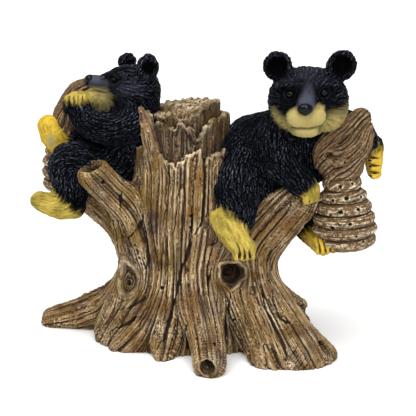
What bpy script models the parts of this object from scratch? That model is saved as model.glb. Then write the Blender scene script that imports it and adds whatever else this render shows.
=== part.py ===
"""Two bear cubs climbing a hollow tree stump, a painted figurine cast in one piece.

The stump stands on its flat underside. One cub lies over the thick right branch and hugs a
beehive, the other leans back on the left branch with a second hive behind its legs.
+X is the viewer's right, -Y is the front and +Z is up.
"""
import math

import bmesh
import bpy
import numpy as np
from mathutils import Euler, Matrix, Vector, noise

# Driving dimensions, in metres
HEIGHT = 0.157          # ground to the tip of the taller ear
SHELL_WALL = 0.0022     # thickness of a broken shell of the hollow top
CARVING_VOXEL = 0.0010  # finest step of the carving
JOINING_VOXEL = 0.0009  # step of the skin that joins the carved forms
FACETS = 10200          # triangles left on the casting before its underside is cut flat

# The figure is laid out as shares of its height: 157 grid steps from the ground to the ear tip
STEP = HEIGHT / 157
VOXEL = CARVING_VOXEL / STEP
NAME = "bear_cubs_on_stump"
CUTTERS = "_cutters"

FAR = 1e3               # distance given to what lies out of a form's reach
FILLET_REACH = 4        # how far past its fillet a form is still worked out
HOLLOW_REACH = 2        # the same past a hollow
FOOT = -6               # the trunk starts below the ground, where it is sawn off

# Trunk sections: height, centre x and y, half width, half depth
TRUNK = (
    (-8, -6, 1, 43, 27), (8, -6, 1, 42, 27), (20, -6.5, 1, 41, 27), (34, -7.5, 2, 40, 27.5),
    (48, -8.5, 3, 38.5, 27.5), (62, -10, 3, 34.5, 27), (76, -11, 3, 29.5, 26), (90, -11.5, 3, 27.5, 25),
    (112, -11.5, 3, 27, 24.5), (140, -11.5, 3, 27, 24.5),
)

# Broken rims around the top: turn from the front in degrees and height
RIM_OUTER = (
    (-180, 112), (-150, 108), (-125, 111), (-95, 108), (-84, 111), (-76, 110), (-72, 106.5),
    (-50, 106), (-43, 105.5), (-40, 102.5), (-20, 102), (-14, 101), (-11, 98), (-8, 101.5),
    (2, 104), (9, 105.5), (13, 107.5), (20, 107), (23, 101), (26, 104.5), (45, 105), (75, 108),
    (110, 112), (125, 107), (150, 110), (180, 112),
)
RIM_MIDDLE = (
    (-180, 118), (-140, 121), (-115, 123), (-98, 128), (-86, 131), (-78, 129), (-64, 125),
    (-54, 122), (-48, 115), (-43, 119), (-30, 120.5), (-22, 118), (-12, 117.5), (-6, 120),
    (4, 118.5), (11, 118), (15, 113), (22, 114), (26, 117), (38, 121), (52, 122), (80, 123),
    (105, 119), (135, 122), (160, 117), (180, 118),
)
RIM_INNER = (
    (-180, 127), (-120, 125), (-90, 123), (-60, 122), (-35, 123.5), (-5, 122), (8, 122),
    (18, 124), (30, 127), (45, 130), (65, 129.5), (90, 129), (120, 127), (150, 128), (180, 127),
)
MIDDLE_SHARE, INNER_SHARE = 0.84, 0.64   # of the trunk's half width at the top
RIM_WALL = SHELL_WALL / STEP
RIM_DEPTH = 7.0                          # how far the gap between two shells goes down

# Limbs of the tree: x, y, z and radius along each, from the trunk outwards
ROOTS = (
    ((-26, 6, 32, 14), (-46, 12, 19, 11), (-66, 17, 8.5, 9.5), (-86, 20, 2.5, 6.5)),
    ((-26, 0, 30, 14), (-42, -3, 16, 11), (-53, -3, 4, 8)),
    ((-22, -8, 26, 14), (-34, -14, 12, 10), (-44, -14, 2, 8)),
    ((-16, -14, 24, 10), (-21, -23, 9, 6.5), (-23, -30, 1, 4.5)),
    ((-5, -12, 40, 14), (-3, -28, 24, 9.5), (0, -41, 12, 8.5), (1, -49, 5, 8)),
    ((16, -8, 36, 14), (25, -22, 18, 11), (31, -34, 3, 9)),
    ((22, -8, 34, 12), (38, -22, 16, 10.5), (48, -34, 3, 9.5)),
    ((22, -6, 30, 12), (40, -16, 14, 9), (52, -24, 5, 8), (58, -29, 2, 6.5)),
    ((-18, 12, 36, 14), (-30, 28, 16, 10), (-38, 40, 3, 8)),
    ((8, 12, 36, 14), (20, 30, 16, 10), (25, 41, 3, 8)),
)
SPLIT_ROOTS = (
    ((22, 6, 32, 10), (38, 10, 20, 7.5), (49, 11, 14, 4.5)),
    ((22, 6, 22, 10), (40, 8, 10, 6.5), (51, 7, 6, 4.5)),
)
RIGHT_CROTCH = ((6, -4, 48, 14), (20, -7, 66, 10), (32, -9, 79, 8))
RIGHT_BRANCH = ((12, 0, 36, 15), (25, -5, 52, 12), (37, -10, 67, 10.5), (46, -12, 79, 10.5))
LEFT_STUB = ((-32, -4, 58, 13), (-41, -10, 75, 9), (-50, -15, 87, 8), (-56, -18, 96, 7.5))
LEFT_SEAT = ((-28, 4, 52, 14), (-45, 5, 66, 11.5), (-57, 6, 74.5, 9.5), (-65, 7, 79, 8))

# Relief of the finished carving, in grid steps
FURROW_DEPTH = 1.3      # wood
FURROWS = 12            # pairs of grooves around the trunk
TUFT_DEPTH = 1.0        # fur


def clear_scene():
    """Start from nothing."""
    for obj in list(bpy.data.objects):
        bpy.data.objects.remove(obj, do_unlink=True)


def collection(name):
    """The scene's collection of that name, made when first asked for."""
    if name not in bpy.data.collections:
        bpy.context.scene.collection.children.link(bpy.data.collections.new(name))
    return bpy.data.collections[name]


def blended(first, second, radius):
    """Union of two distance fields with a fillet of about the given radius."""
    overlap = np.clip(1 - np.abs(first - second) / radius, 0, 1)
    return np.minimum(first, second) - radius * overlap ** 2 / 4


def ball_field(points, centre, radii, turn):
    """Distance to an ellipsoid, near enough close to its skin."""
    spin = np.array(Euler([math.radians(a) for a in turn]).to_matrix())
    local = (points - centre) @ spin
    reach = np.linalg.norm(local / radii, axis=1)
    slope = np.linalg.norm(local / np.square(radii), axis=1) + 1e-9
    return reach * (reach - 1) / slope


def limb_field(points, path):
    """Distance to a chain of tapered rods, x, y, z and radius at each joint."""
    nearest = np.full(len(points), FAR)
    for start, end in zip(path, path[1:]):
        along = np.subtract(end[:3], start[:3])
        share = np.clip((points - start[:3]) @ along / (along @ along), 0, 1)
        axis = start[:3] + share[:, None] * along
        radius = start[3] + share * (end[3] - start[3])
        nearest = np.minimum(nearest, np.linalg.norm(points - axis, axis=1) - radius)
    return nearest


def smooth_path(path, count=4):
    """The same limb with extra joints on a smooth curve through its own."""
    path = np.array(path, float)
    padded = np.vstack([2 * path[0] - path[1], path, 2 * path[-1] - path[-2]])
    joints = []
    for a, b, c, d in zip(padded, padded[1:], padded[2:], padded[3:]):
        for t in np.arange(count) / count:
            joints.append(0.5 * (2 * b + (c - a) * t + (2 * a - 5 * b + 4 * c - d) * t ** 2
                                 + (3 * b - a - 3 * c + d) * t ** 3))
    return np.array([*joints, path[-1]])


def limb_box(joints):
    """Low and high corners of the box around a limb."""
    reach = joints[:, 3:]
    return (joints[:, :3] - reach).min(axis=0), (joints[:, :3] + reach).max(axis=0)


def rods(skin, joints):
    """Cones and balls along a limb, added to a mesh."""
    for start, end in zip(joints, joints[1:]):
        along = Vector(end[:3]) - Vector(start[:3])
        place = Matrix.Translation((start[:3] + end[:3]) / 2) @ along.to_track_quat(
            "Z", "Y").to_matrix().to_4x4()
        bmesh.ops.create_cone(skin, cap_ends=True, segments=20, radius1=start[3],
                              radius2=end[3], depth=along.length, matrix=place)
    for joint in joints:
        bmesh.ops.create_icosphere(skin, subdivisions=2, radius=joint[3],
                                   matrix=Matrix.Translation(joint[:3]))


class Clay:
    """Closed primitives gathered in one mesh and fused under one skin.

    Each shape is kept twice: as a solid for the voxel remesh, and as a distance field that the
    skin then settles on, so that neighbours meet in a fillet.
    """

    def __init__(self, fillet):
        self.fillet = fillet
        self.bm = bmesh.new()
        self.cutters = bmesh.new()
        self.fields = []
        self.hollows = []

    def ball(self, centre, radii, turn=(0, 0, 0), fillet=None):
        """An ellipsoid, turned by degrees about X, Y and Z."""
        turned = Euler([math.radians(a) for a in turn]).to_matrix().to_4x4()
        place = Matrix.Translation(centre) @ turned @ Matrix.Diagonal((*radii, 1))
        bmesh.ops.create_icosphere(self.bm, subdivisions=3, radius=1, matrix=place)
        reach = max(radii)
        self.add(lambda p: ball_field(p, centre, radii, turn), np.subtract(centre, reach),
                 np.add(centre, reach), fillet)

    def limb(self, path, fillet=None):
        """A tapered tube through x, y, z, radius joints, with round ends."""
        joints = smooth_path(path)
        rods(self.bm, joints)
        self.add(lambda p: limb_field(p, joints), *limb_box(joints), fillet)

    def hollow(self, path, fillet=0.6):
        """A tapered hole, x, y, z and radius at each joint."""
        joints = smooth_path(path)
        rods(self.cutters, joints)
        self.hollows.append((lambda p: limb_field(p, joints), fillet, *limb_box(joints)))

    def solid(self, mesh, field):
        """Any other closed mesh with the field that describes it."""
        self.bm.from_mesh(mesh)
        bpy.data.meshes.remove(mesh)
        self.add(field, (-FAR, -FAR, -FAR), (FAR, FAR, FAR), None)

    def add(self, field, low, high, fillet):
        """Keep a field with the corners of the box that it fills."""
        self.fields.append((field, fillet or self.fillet, np.array(low), np.array(high)))

    def distance(self, points):
        """The blended field of everything, less the hollows."""
        total = np.full(len(points), FAR)
        for field, fillet, low, high in self.fields:
            reach = fillet + FILLET_REACH
            near = np.all((points > low - reach) & (points < high + reach), axis=1)
            total[near] = blended(total[near], field(points[near]), fillet)
        for field, fillet, low, high in self.hollows:
            near = np.all((points > low - HOLLOW_REACH) & (points < high + HOLLOW_REACH), axis=1)
            total[near] = -blended(-total[near], field(points[near]), fillet)
        return total

    def fuse(self, name, voxel=VOXEL, rounds=2):
        """One skin over all the primitives, less the hollows, settled on the blended field."""
        obj = object_from(self.bm, name)
        if self.hollows:
            remeshed(obj, voxel)
            cutter = object_from(self.cutters, name + CUTTERS)
            cutter.hide_render = True
            cutter.display_type = "WIRE"
            remeshed(cutter, voxel)
            cut = obj.modifiers.new("hollow", "BOOLEAN")
            cut.operation = "DIFFERENCE"
            cut.object = cutter
            apply_modifiers(obj)
            bpy.data.objects.remove(cutter)
        for _ in range(rounds):
            remeshed(obj, voxel)
            self.settle(obj)
        return obj

    def settle(self, obj, steps=6, stride=1.5, share=0.9):
        """Move each vertex along its normal until the field there is zero."""
        for _ in range(steps):
            points = vertices(obj)
            gap = np.clip(self.distance(points), -stride, stride)
            set_vertices(obj, points - normals(obj) * gap[:, None] * share)


def object_from(skin, name):
    """A new object from a bmesh, which is freed."""
    mesh = bpy.data.meshes.new(name)
    skin.to_mesh(mesh)
    skin.free()
    obj = bpy.data.objects.new(name, mesh)
    collection(CUTTERS if name.endswith(CUTTERS) else NAME).objects.link(obj)
    return obj


def remeshed(obj, voxel):
    """Rebuild an object's skin from voxels, which joins what overlaps."""
    remesh = obj.modifiers.new("fuse", "REMESH")
    remesh.mode = "VOXEL"
    remesh.voxel_size = voxel
    apply_modifiers(obj)


def apply_modifiers(obj):
    """Bake an object's modifiers into its mesh."""
    graph = bpy.context.evaluated_depsgraph_get()
    mesh = bpy.data.meshes.new_from_object(obj.evaluated_get(graph))
    obj.modifiers.clear()
    old = obj.data
    obj.data = mesh
    bpy.data.meshes.remove(old)


def vertices(obj):
    flat = np.empty(len(obj.data.vertices) * 3)
    obj.data.vertices.foreach_get("co", flat)
    return flat.reshape(-1, 3)


def normals(obj):
    flat = np.empty(len(obj.data.vertices) * 3)
    obj.data.vertices.foreach_get("normal", flat)
    return flat.reshape(-1, 3)


def set_vertices(obj, points):
    obj.data.vertices.foreach_set("co", points.ravel())
    obj.data.update()


def trunk_section(height):
    """Centre x, centre y, half width and half depth of the trunk at a height."""
    table = np.array(TRUNK)
    return [np.interp(height, table[:, 0], table[:, column]) for column in range(1, 5)]


def trunk_field(points):
    """Distance to the trunk with its three broken shells."""
    x, y, z = points.T
    cx, cy, half_width, half_depth = trunk_section(z)
    turn = np.degrees(np.arctan2((x - cx) / half_width, -(y - cy) / half_depth))
    share = np.hypot((x - cx) / half_width, (y - cy) / half_depth)
    size = np.minimum(half_width, half_depth)
    outer, middle, inner = [np.interp(turn, *np.array(rim).T)
                            for rim in (RIM_OUTER, RIM_MIDDLE, RIM_INNER)]

    def shell(rim, reach, foot):
        """A pot with its rim broken off at the given heights."""
        wall = (share - reach) * size
        pot = np.maximum(wall, z - rim)
        inside = np.maximum(wall + RIM_WALL, foot - z)
        return np.maximum(pot, -inside)

    total = shell(outer, 1, outer - RIM_DEPTH)
    total = np.minimum(total, shell(middle, MIDDLE_SHARE, outer - RIM_DEPTH))
    core = inner - 1.5 * (1 - np.clip(share / INNER_SHARE, 0, 1))
    return np.minimum(total, np.maximum((share - INNER_SHARE) * size, z - core))


def trunk_loft():
    """The trunk with its three broken shells, lofted around the axis.

    Each turn's profile climbs the outside to the rim, drops between the shells twice, and
    ends on the core.
    """
    turns = np.linspace(-math.pi, math.pi, 240, endpoint=False)
    outer, middle, inner = [np.interp(np.degrees(turns), *np.array(rim).T)
                            for rim in (RIM_OUTER, RIM_MIDDLE, RIM_INNER)]
    rows = []

    def row(height, share, inset=0.0):
        cx, cy, half_width, half_depth = trunk_section(height)
        rows.append(np.stack([
            cx + np.sin(turns) * (half_width * share - inset),
            cy - np.cos(turns) * (half_depth * share - inset),
            height + 0 * turns], axis=1))

    for climb in np.linspace(0, 1, 40):
        row(FOOT + (outer - FOOT) * climb, 1)
    row(outer, 1, RIM_WALL)
    for foot, rim, share in ((outer - RIM_DEPTH, middle, MIDDLE_SHARE),
                             (outer - RIM_DEPTH, inner, INNER_SHARE)):
        row(foot, share, -0.8)
        for climb in np.linspace(0.02, 1, 6):
            row(foot + (rim - foot) * climb, share)
        row(rim, share, RIM_WALL)
    loft = bmesh.new()
    grid = [[loft.verts.new(co) for co in ring] for ring in rows]
    for lower, upper in zip(grid, grid[1:]):
        for i in range(len(turns)):
            j = (i + 1) % len(turns)
            loft.faces.new((lower[i], lower[j], upper[j], upper[i]))
    loft.faces.new(list(reversed(grid[0])))
    loft.faces.new(grid[-1])
    mesh = bpy.data.meshes.new("trunk")
    loft.to_mesh(mesh)
    loft.free()
    return mesh


def stump():
    """The trunk, its roots and its three broken branches."""
    clay = Clay(fillet=9)
    clay.solid(trunk_loft(), trunk_field)
    for path in (*ROOTS, RIGHT_CROTCH, RIGHT_BRANCH, LEFT_SEAT, LEFT_STUB):
        clay.limb(path)
    for path in SPLIT_ROOTS:
        clay.limb(path, fillet=4)
    clay.ball((42, -34, 0), (17, 11, 3))
    clay.hollow(((-62, -24, 104, 6.5), (-57, -20, 97, 5.2), (-53, -18, 92, 3)))
    clay.hollow(((15, -38, 45, 6), (13, -26, 44, 5), (12, -21, 43.5, 2.5)))
    clay.hollow(((-46, -30, 42, 3.5), (-40, -21, 41, 2.4)))
    clay.hollow(((-1, -62, 5, 4.5), (0, -52, 6, 3.5), (0, -47, 7, 1.5)))
    clay.hollow(((66, -36, 5, 4.5), (60, -31, 5, 3.5), (57, -28, 5, 1.5)))
    return clay


def right_cub():
    """The cub lying over the right branch with its face to the front."""
    body = Clay(fillet=5)
    body.ball((35, -8, 108), (17, 14, 18))
    body.ball((22, -3, 107), (14, 13, 16), (0, 30, 0))
    body.ball((14, -4, 95), (12.5, 13, 17))
    body.ball((34, -4, 92), (16, 12, 13))
    body.ball((48, -7, 106), (12, 11, 14))
    body.ball((28, -9, 83), (9, 8, 10))
    body.ball((14, -14, 86), (11.5, 10, 15))
    body.limb(((14, -16, 84, 9.5), (16, -23, 76, 8.5), (14, -27, 70, 7)))
    body.limb(((5, -28, 74.5, 4.5), (11, -33, 68, 6), (18, -38, 61.5, 6)))
    body.limb(((34, -15, 113, 10), (38, -20, 101, 8.5), (45, -22, 92.5, 7), (51, -21, 87.5, 5.5)))
    body.limb(((58, -6, 118, 9), (74, -2, 115, 8), (83, -6, 107, 6)))
    body.ball((84.5, -11, 100.5), (4.4, 6, 10))
    body.limb(((34, 6, 86, 11), (44, 6, 73, 9), (51, 2, 62, 6.5), (60, -11, 56, 5.3)))
    body.ball((49.5, -19, 134), (19.5, 15, 15.5))
    body.ball((38.5, -25, 127), (9.5, 8.5, 8))
    body.ball((61, -25, 128), (9.5, 8.5, 8.5))
    body.ball((46.7, -36, 127), (8.8, 9, 6.5), fillet=3)
    body.ball((47.5, -34, 121), (7.5, 6.5, 4), fillet=3)
    body.limb(((49, -30, 139, 5.5), (47, -39, 134.5, 4.2)), fillet=3)
    body.ball((34.5, -16, 149), (7.2, 3.6, 7.4), (0, -22, 0), fillet=2)
    body.ball((66, -16, 149.5), (7.2, 3.6, 7.8), (0, 28, 0), fillet=2)
    body.ball((46, -45.5, 133.5), (3.8, 2.8, 2.9), fillet=0.8)
    body.hollow(((33.5, -24, 149.5, 5), (34.5, -19.5, 149, 4.2)))
    body.hollow(((66.5, -24, 150, 5), (65.5, -19.5, 149.5, 4.2)))
    toes(body, (14.2, -42, 58.5), (22, -41, 59), (-1, 7, 5), 4, 1.7)
    toes(body, (55, -15.5, 54), (62.5, -15, 54), (-1, 6, 2.5), 4, 1.7)
    toes(body, (80.5, -16, 106), (81, -16.5, 93.5), (5, 3, 0), 5, 1.7)
    toes(body, (49, -26.5, 83), (54.5, -25, 83.5), (-0.5, 4, 3.5), 4, 1.5)
    return body


def toes(clay, first, last, back, count, radius):
    """A row of toes from the first tip to the last, each running back into the paw."""
    for share in np.linspace(0, 1, count):
        tip = np.array(first) + share * np.subtract(last, first)
        clay.limb(((*(tip + back), radius), (*(tip + np.multiply(back, 0.4)), radius * 1.1),
                   (*tip, radius * 0.8)), fillet=0.8)


def skep(clay, top, bottom, radii):
    """A beehive of stacked coils between two points, top first."""
    top, bottom = Vector(top), Vector(bottom)
    axis = (bottom - top).normalized()
    turn = [math.degrees(a) for a in axis.to_track_quat("Z", "Y").to_euler()]
    pitch = (bottom - top).length / (len(radii) - 1)
    for i, radius in enumerate(radii):
        clay.ball(np.array(top + axis * pitch * i), (radius, radius, pitch * 0.66), turn, 1.0)


def right_hive():
    """The hive hugged by the right cub, hanging from a gnarled stub."""
    clay = Clay(fillet=3)
    skep(clay, (66, -16, 97), (73, -17, 61.5), (9, 10, 12, 13.8, 15.3, 16, 15))
    clay.limb(((71, -15, 95, 8), (74.5, -14, 107, 8), (77.5, -12, 117, 5.2), (78.5, -12, 122, 3.8)))
    clay.limb(((61, -18, 100, 6.5), (60, -19, 105, 7), (67, -16, 112, 6), (75, -13, 119, 4.8)))
    clay.hollow(((61, -30, 103, 3), (62, -24, 102.5, 2)))
    clay.ball((67, -24, 99.5), (2.6, 2.6, 2), fillet=1)
    return clay


def left_cub():
    """The cub leaning back on the left branches with its nose up."""
    body = Clay(fillet=5)
    body.ball((-42, 6, 108), (17, 13, 20))
    body.ball((-36, 6, 120), (11.5, 12.5, 14))
    body.ball((-50, 2, 124), (9, 7, 8))
    body.ball((-56, 4, 96), (15, 12, 13))
    body.ball((-38, 5, 134), (13.5, 12.5, 13))
    body.ball((-45.5, 3, 139), (6.5, 8, 6))
    body.limb(((-46, 3, 134, 6.5), (-54, 1, 136, 4.8), (-60, 0, 138, 3.2)), fillet=1.5)
    body.ball((-54, -0.5, 131.5), (8, 6.5, 6), fillet=2)
    body.limb(((-39, -4, 117, 9), (-50, -8, 116, 8), (-60, -8, 119, 7), (-65, -7, 123.5, 5.5)))
    body.ball((-66, -5, 129.5), (6.5, 5.5, 5.5))
    body.limb(((-52, 0, 88, 11.5), (-70, -8, 98, 11), (-70, -10, 84, 8.5)))
    body.limb(((-69, -10, 74.5, 5.2), (-77, -12, 76, 6), (-86, -13, 79.5, 5)))
    body.limb(((-56, 12, 98, 9), (-70, 10, 108, 7.5), (-77, 8, 104, 5.5)))
    body.limb(((-76, 6, 102, 4.5), (-80, 5, 109, 6.5), (-82.5, 5, 115, 6)), fillet=2)
    body.ball((-30.5, -3, 146.5), (5.3, 3.2, 6.8), (0, 8, 30), fillet=2)
    body.ball((-41.5, 13, 147), (4.8, 3.2, 5), (0, 0, 20), fillet=2)
    body.ball((-60.8, 0, 140), (3, 3, 2.8), fillet=0.8)
    toes(body, (-71, -9.5, 132.5), (-62.5, -9.5, 133), (0, 1, -7), 5, 1.6)
    toes(body, (-89, -16.5, 80.5), (-89, -9, 80.5), (6, 0, -1.5), 4, 1.7)
    toes(body, (-86, 1, 119.5), (-79.5, 6, 121.5), (1, 1, -5), 4, 1.7)
    return body


def left_hive():
    """The hive behind the left cub's legs, with its stub at the cub's mouth."""
    clay = Clay(fillet=3)
    skep(clay, (-74, 13, 112), (-77, 15, 82), (8, 9.5, 11, 12, 12, 11))
    clay.limb(((-74, 12, 112, 8), (-71, 9, 124, 7), (-67, 6, 132, 5.5), (-60, 5, 136, 4)))
    clay.limb(((-76, 10, 112, 6), (-75, 7, 119, 5)))
    return clay


def eyes():
    """The three eyes that show, two on the right cub and one on the left."""
    clay = Clay(fillet=0.4)
    for centre, radius in (((40, -33, 139.5), 2.3), ((54.5, -33.3, 140.3), 2.3),
                           ((-47.4, -4.4, 141), 2)):
        clay.ball(centre, (radius, radius, radius))
    return clay


def material(name, colour, roughness):
    shade = bpy.data.materials.new(name)
    shade.use_nodes = True
    surface = shade.node_tree.nodes["Principled BSDF"]
    surface.inputs["Base Color"].default_value = (*colour, 1)
    surface.inputs["Roughness"].default_value = roughness
    surface.inputs["Metallic"].default_value = 0
    shade.diffuse_color = (*colour, 1)
    return shade


def furrows(points):
    """Depth of the wood's coarse grooves, which run along each limb."""
    x, y, z = points.T
    cx, cy, half_width, half_depth = trunk_section(z)
    turn = np.arctan2((x - cx) / half_width, -(y - cy) / half_depth)
    wander = np.array([noise.noise(Vector((3 * t, 0.03 * h, 1.7))) for t, h in zip(turn, z)])
    groove = np.abs(np.sin(turn * FURROWS + 3 * wander + 0.02 * z))
    return FURROW_DEPTH * np.clip(1 - 1.6 * groove, 0, 1)


def tufts(points):
    """Height of the coarse locks of fur."""
    lumps = [noise.noise(Vector((0.19 * x, 0.19 * y, 0.11 * z))) for x, y, z in points]
    return TUFT_DEPTH * np.array(lumps)


def displaced(obj, heights):
    """Push each vertex out along its normal."""
    set_vertices(obj, vertices(obj) + normals(obj) * heights[:, None])


def fused(forms):
    """Join the carved forms into one casting, without sealed pockets inside."""
    gathered = bmesh.new()
    for form in forms:
        gathered.from_mesh(form.data)
        bpy.data.objects.remove(form)
    casting = object_from(gathered, NAME)
    remeshed(casting, JOINING_VOXEL / STEP)
    keep_largest(casting)
    return casting


def keep_largest(obj):
    """Drop every loose shell but the largest."""
    skin = bmesh.new()
    skin.from_mesh(obj.data)
    waiting = set(skin.verts)
    shells = []
    while waiting:
        shell, edge = set(), [waiting.pop()]
        while edge:
            vertex = edge.pop()
            shell.add(vertex)
            for link in vertex.link_edges:
                other = link.other_vert(vertex)
                if other in waiting:
                    waiting.remove(other)
                    edge.append(other)
        shells.append(shell)
    shells.sort(key=len)
    bmesh.ops.delete(skin, geom=[v for shell in shells[:-1] for v in shell], context="VERTS")
    skin.to_mesh(obj.data)
    skin.free()


def faceted(obj):
    """Bring the skin down to the wanted number of triangles."""
    thin = obj.modifiers.new("facets", "DECIMATE")
    thin.ratio = FACETS / (2 * len(obj.data.polygons))
    thin.use_collapse_triangulate = True
    apply_modifiers(obj)


def cut_underside(obj):
    """Saw the casting off flat at the ground."""
    skin = bmesh.new()
    skin.from_mesh(obj.data)
    bmesh.ops.bisect_plane(skin, geom=[*skin.verts, *skin.edges, *skin.faces], dist=1e-4,
                           plane_co=(0, 0, 0), plane_no=(0, 0, -1), clear_outer=True)
    rim = [edge for edge in skin.edges if edge.is_boundary]
    filled = bmesh.ops.holes_fill(skin, edges=rim, sides=0)
    bmesh.ops.triangulate(skin, faces=filled["faces"])
    skin.to_mesh(obj.data)
    skin.free()


def paint(obj, coats):
    """Give each face the material of the form that it lies nearest to."""
    centres = np.array([face.center for face in obj.data.polygons])
    nearest = np.argmin([clay.distance(centres) for clay, _ in coats], axis=0)
    for _, coat in coats:
        obj.data.materials.append(coat)
    obj.data.polygons.foreach_set("material_index", nearest.astype(np.int32))


def stood_on_origin(obj):
    """Scale the grid to metres, with the middle of the base box at the origin."""
    points = vertices(obj) * STEP
    low, high = points.min(axis=0), points.max(axis=0)
    set_vertices(obj, points - [(low[0] + high[0]) / 2, (low[1] + high[1]) / 2, 0])


def main():
    clear_scene()
    wood = material("painted_wood", (0.25, 0.17, 0.09), 0.6)
    fur = material("black_fur", (0.012, 0.014, 0.025), 0.5)
    straw = material("hive_straw", (0.30, 0.21, 0.13), 0.6)
    gloss = material("eye_gloss", (0.005, 0.005, 0.006), 0.1)
    tree, right, left, beads = stump(), right_cub(), left_cub(), eyes()
    hives = [right_hive(), left_hive()]
    trunk = tree.fuse("stump")
    displaced(trunk, -furrows(vertices(trunk)))
    cubs = [right.fuse("right_cub"), left.fuse("left_cub")]
    for cub in cubs:
        displaced(cub, tufts(vertices(cub)))
    skeps = [hive.fuse("hive") for hive in hives]
    casting = fused([trunk, *cubs, *skeps, beads.fuse("eyes", voxel=VOXEL / 2)])
    faceted(casting)
    cut_underside(casting)
    paint(casting, [(tree, wood), (right, fur), (left, fur), (hives[0], straw),
                    (hives[1], straw), (beads, gloss)])
    stood_on_origin(casting)
    casting.data.shade_smooth()


if __name__ == "__main__":
    main()
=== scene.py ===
"""Carves and paints a cast figurine of two bear cubs climbing a hollow tree stump.

The figurine is laid out in grid steps of about a millimetre: +X is the viewer's right, -Y the
front and +Z up, with the ground at zero. Each piece is modelled from balls and limbs, fused
under one skin, carved along the run of its grain or fur, and painted. Plain numbers in the sums
of the carving and the paint are weights and limits.
"""

import itertools
import math
from collections import namedtuple
from concurrent.futures import ThreadPoolExecutor

import bmesh
import bpy
import numpy as np
from bpy.props import FloatProperty, FloatVectorProperty, PointerProperty
from mathutils import Euler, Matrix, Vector


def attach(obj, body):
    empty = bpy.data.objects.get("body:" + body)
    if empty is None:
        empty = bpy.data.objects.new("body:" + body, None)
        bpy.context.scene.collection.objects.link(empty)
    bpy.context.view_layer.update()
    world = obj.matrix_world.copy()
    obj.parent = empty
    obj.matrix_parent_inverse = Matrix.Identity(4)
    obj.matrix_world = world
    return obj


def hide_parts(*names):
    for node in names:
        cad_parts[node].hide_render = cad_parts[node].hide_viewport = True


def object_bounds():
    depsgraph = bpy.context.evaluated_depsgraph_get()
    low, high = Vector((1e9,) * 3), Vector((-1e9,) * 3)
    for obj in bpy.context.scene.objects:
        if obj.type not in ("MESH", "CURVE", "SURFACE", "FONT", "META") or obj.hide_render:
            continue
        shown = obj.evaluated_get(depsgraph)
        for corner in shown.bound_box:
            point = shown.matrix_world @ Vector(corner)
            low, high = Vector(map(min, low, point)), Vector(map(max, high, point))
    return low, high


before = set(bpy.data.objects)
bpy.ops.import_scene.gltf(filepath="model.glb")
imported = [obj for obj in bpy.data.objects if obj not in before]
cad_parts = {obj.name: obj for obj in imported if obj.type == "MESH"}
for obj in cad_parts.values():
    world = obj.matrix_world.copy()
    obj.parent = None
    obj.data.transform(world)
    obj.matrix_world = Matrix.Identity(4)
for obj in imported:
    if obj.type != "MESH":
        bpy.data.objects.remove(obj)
CAD_LOW, CAD_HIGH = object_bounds()

bl_info = {
    "name": "Bear Cubs on a Stump",
    "version": (1, 0, 0),
    "blender": (4, 5, 0),
    "location": "View3D > Sidebar > Figurine",
    "description": "Carves and paints a cast figurine of two bear cubs on a tree stump",
    "category": "Object",
}

NODE = "bear_cubs_on_stump"
GRID_TOP = 157.5                # top of the taller ear, in grid steps
MIDDLE = (-1.125, -3.652, 0)    # middle of the figurine's footprint in the grid
STEP = CAD_HIGH.z / GRID_TOP    # metres in a grid step

FAR = 1e3                       # distance given to what lies out of a form's reach
REACH = 4                       # how far past its fillet a form is still worked out
COARSE = 1.0                    # voxel that first joins the forms
SETTLING = 1.5                  # most voxels a vertex moves at once when the skin settles
SETTLED_SHARE = 0.9             # part of its gap to the field that it then closes
SETTLING_ROUNDS = (6, 4, 3)     # times that the skin settles after each of three remeshes
COMB_RANGE = 30                 # how far past the nearest form a form still leads the grain
TINY = 1e-9                     # added to a length so that nothing is divided by zero
FOOT = -6                       # the trunk starts below the ground, where it is sawn off

# Trunk sections: height, centre x and y, half width, half depth
TRUNK = (
    (-8, -6, 1, 43, 27), (8, -6, 1, 42, 27), (20, -6.5, 1, 41, 27), (34, -7.5, 2, 40, 27.5),
    (48, -8.5, 3, 38.5, 27.5), (62, -10, 3, 34.5, 27), (76, -11, 3, 29.5, 26), (90, -11.5, 3, 27.5, 25),
    (112, -11.5, 3, 27, 24.5), (140, -11.5, 3, 27, 24.5),
)

# Broken rims around the top: turn from the front in degrees and height
RIM_OUTER = (
    (-180, 112), (-150, 108), (-125, 111), (-95, 108), (-84, 111), (-76, 110), (-72, 106.5),
    (-50, 106), (-43, 105.5), (-40, 102.5), (-20, 102), (-14, 101), (-11, 98), (-8, 101.5),
    (2, 104), (9, 105.5), (13, 107.5), (20, 107), (23, 101), (26, 104.5), (45, 105), (75, 108),
    (110, 112), (125, 107), (150, 110), (180, 112),
)
RIM_MIDDLE = (
    (-180, 118), (-140, 121), (-115, 123), (-98, 128), (-86, 131), (-78, 129), (-64, 125),
    (-54, 122), (-48, 115), (-43, 119), (-30, 120.5), (-22, 118), (-12, 117.5), (-6, 120),
    (4, 118.5), (11, 118), (15, 113), (22, 114), (26, 117), (38, 121), (52, 122), (80, 123),
    (105, 119), (135, 122), (160, 117), (180, 118),
)
RIM_INNER = (
    (-180, 127), (-120, 125), (-90, 123), (-60, 122), (-35, 123.5), (-5, 122), (8, 122),
    (18, 124), (30, 127), (45, 130), (65, 129.5), (90, 129), (120, 127), (150, 128), (180, 127),
)
RIMS = (RIM_OUTER, RIM_MIDDLE, RIM_INNER)
MIDDLE_SHARE, INNER_SHARE = 0.84, 0.64   # of the trunk's half width at the top
RIM_WALL = 2.6                           # thickness of a broken shell
RIM_DEPTH = 7.0                          # how far the gap between two shells goes down
RIM_FLARE = 0.8                          # how far a shell's foot stands out
RIM_JAGS = ((9, 0.5), (23, 0.6), (47, 0.45), (83, 0.3))   # lumps around a rim and their height
CORE_MIDDLE = 125.5                      # height of the broken core at its middle
CORE_RINGS = 5                           # rings of wood on it
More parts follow.
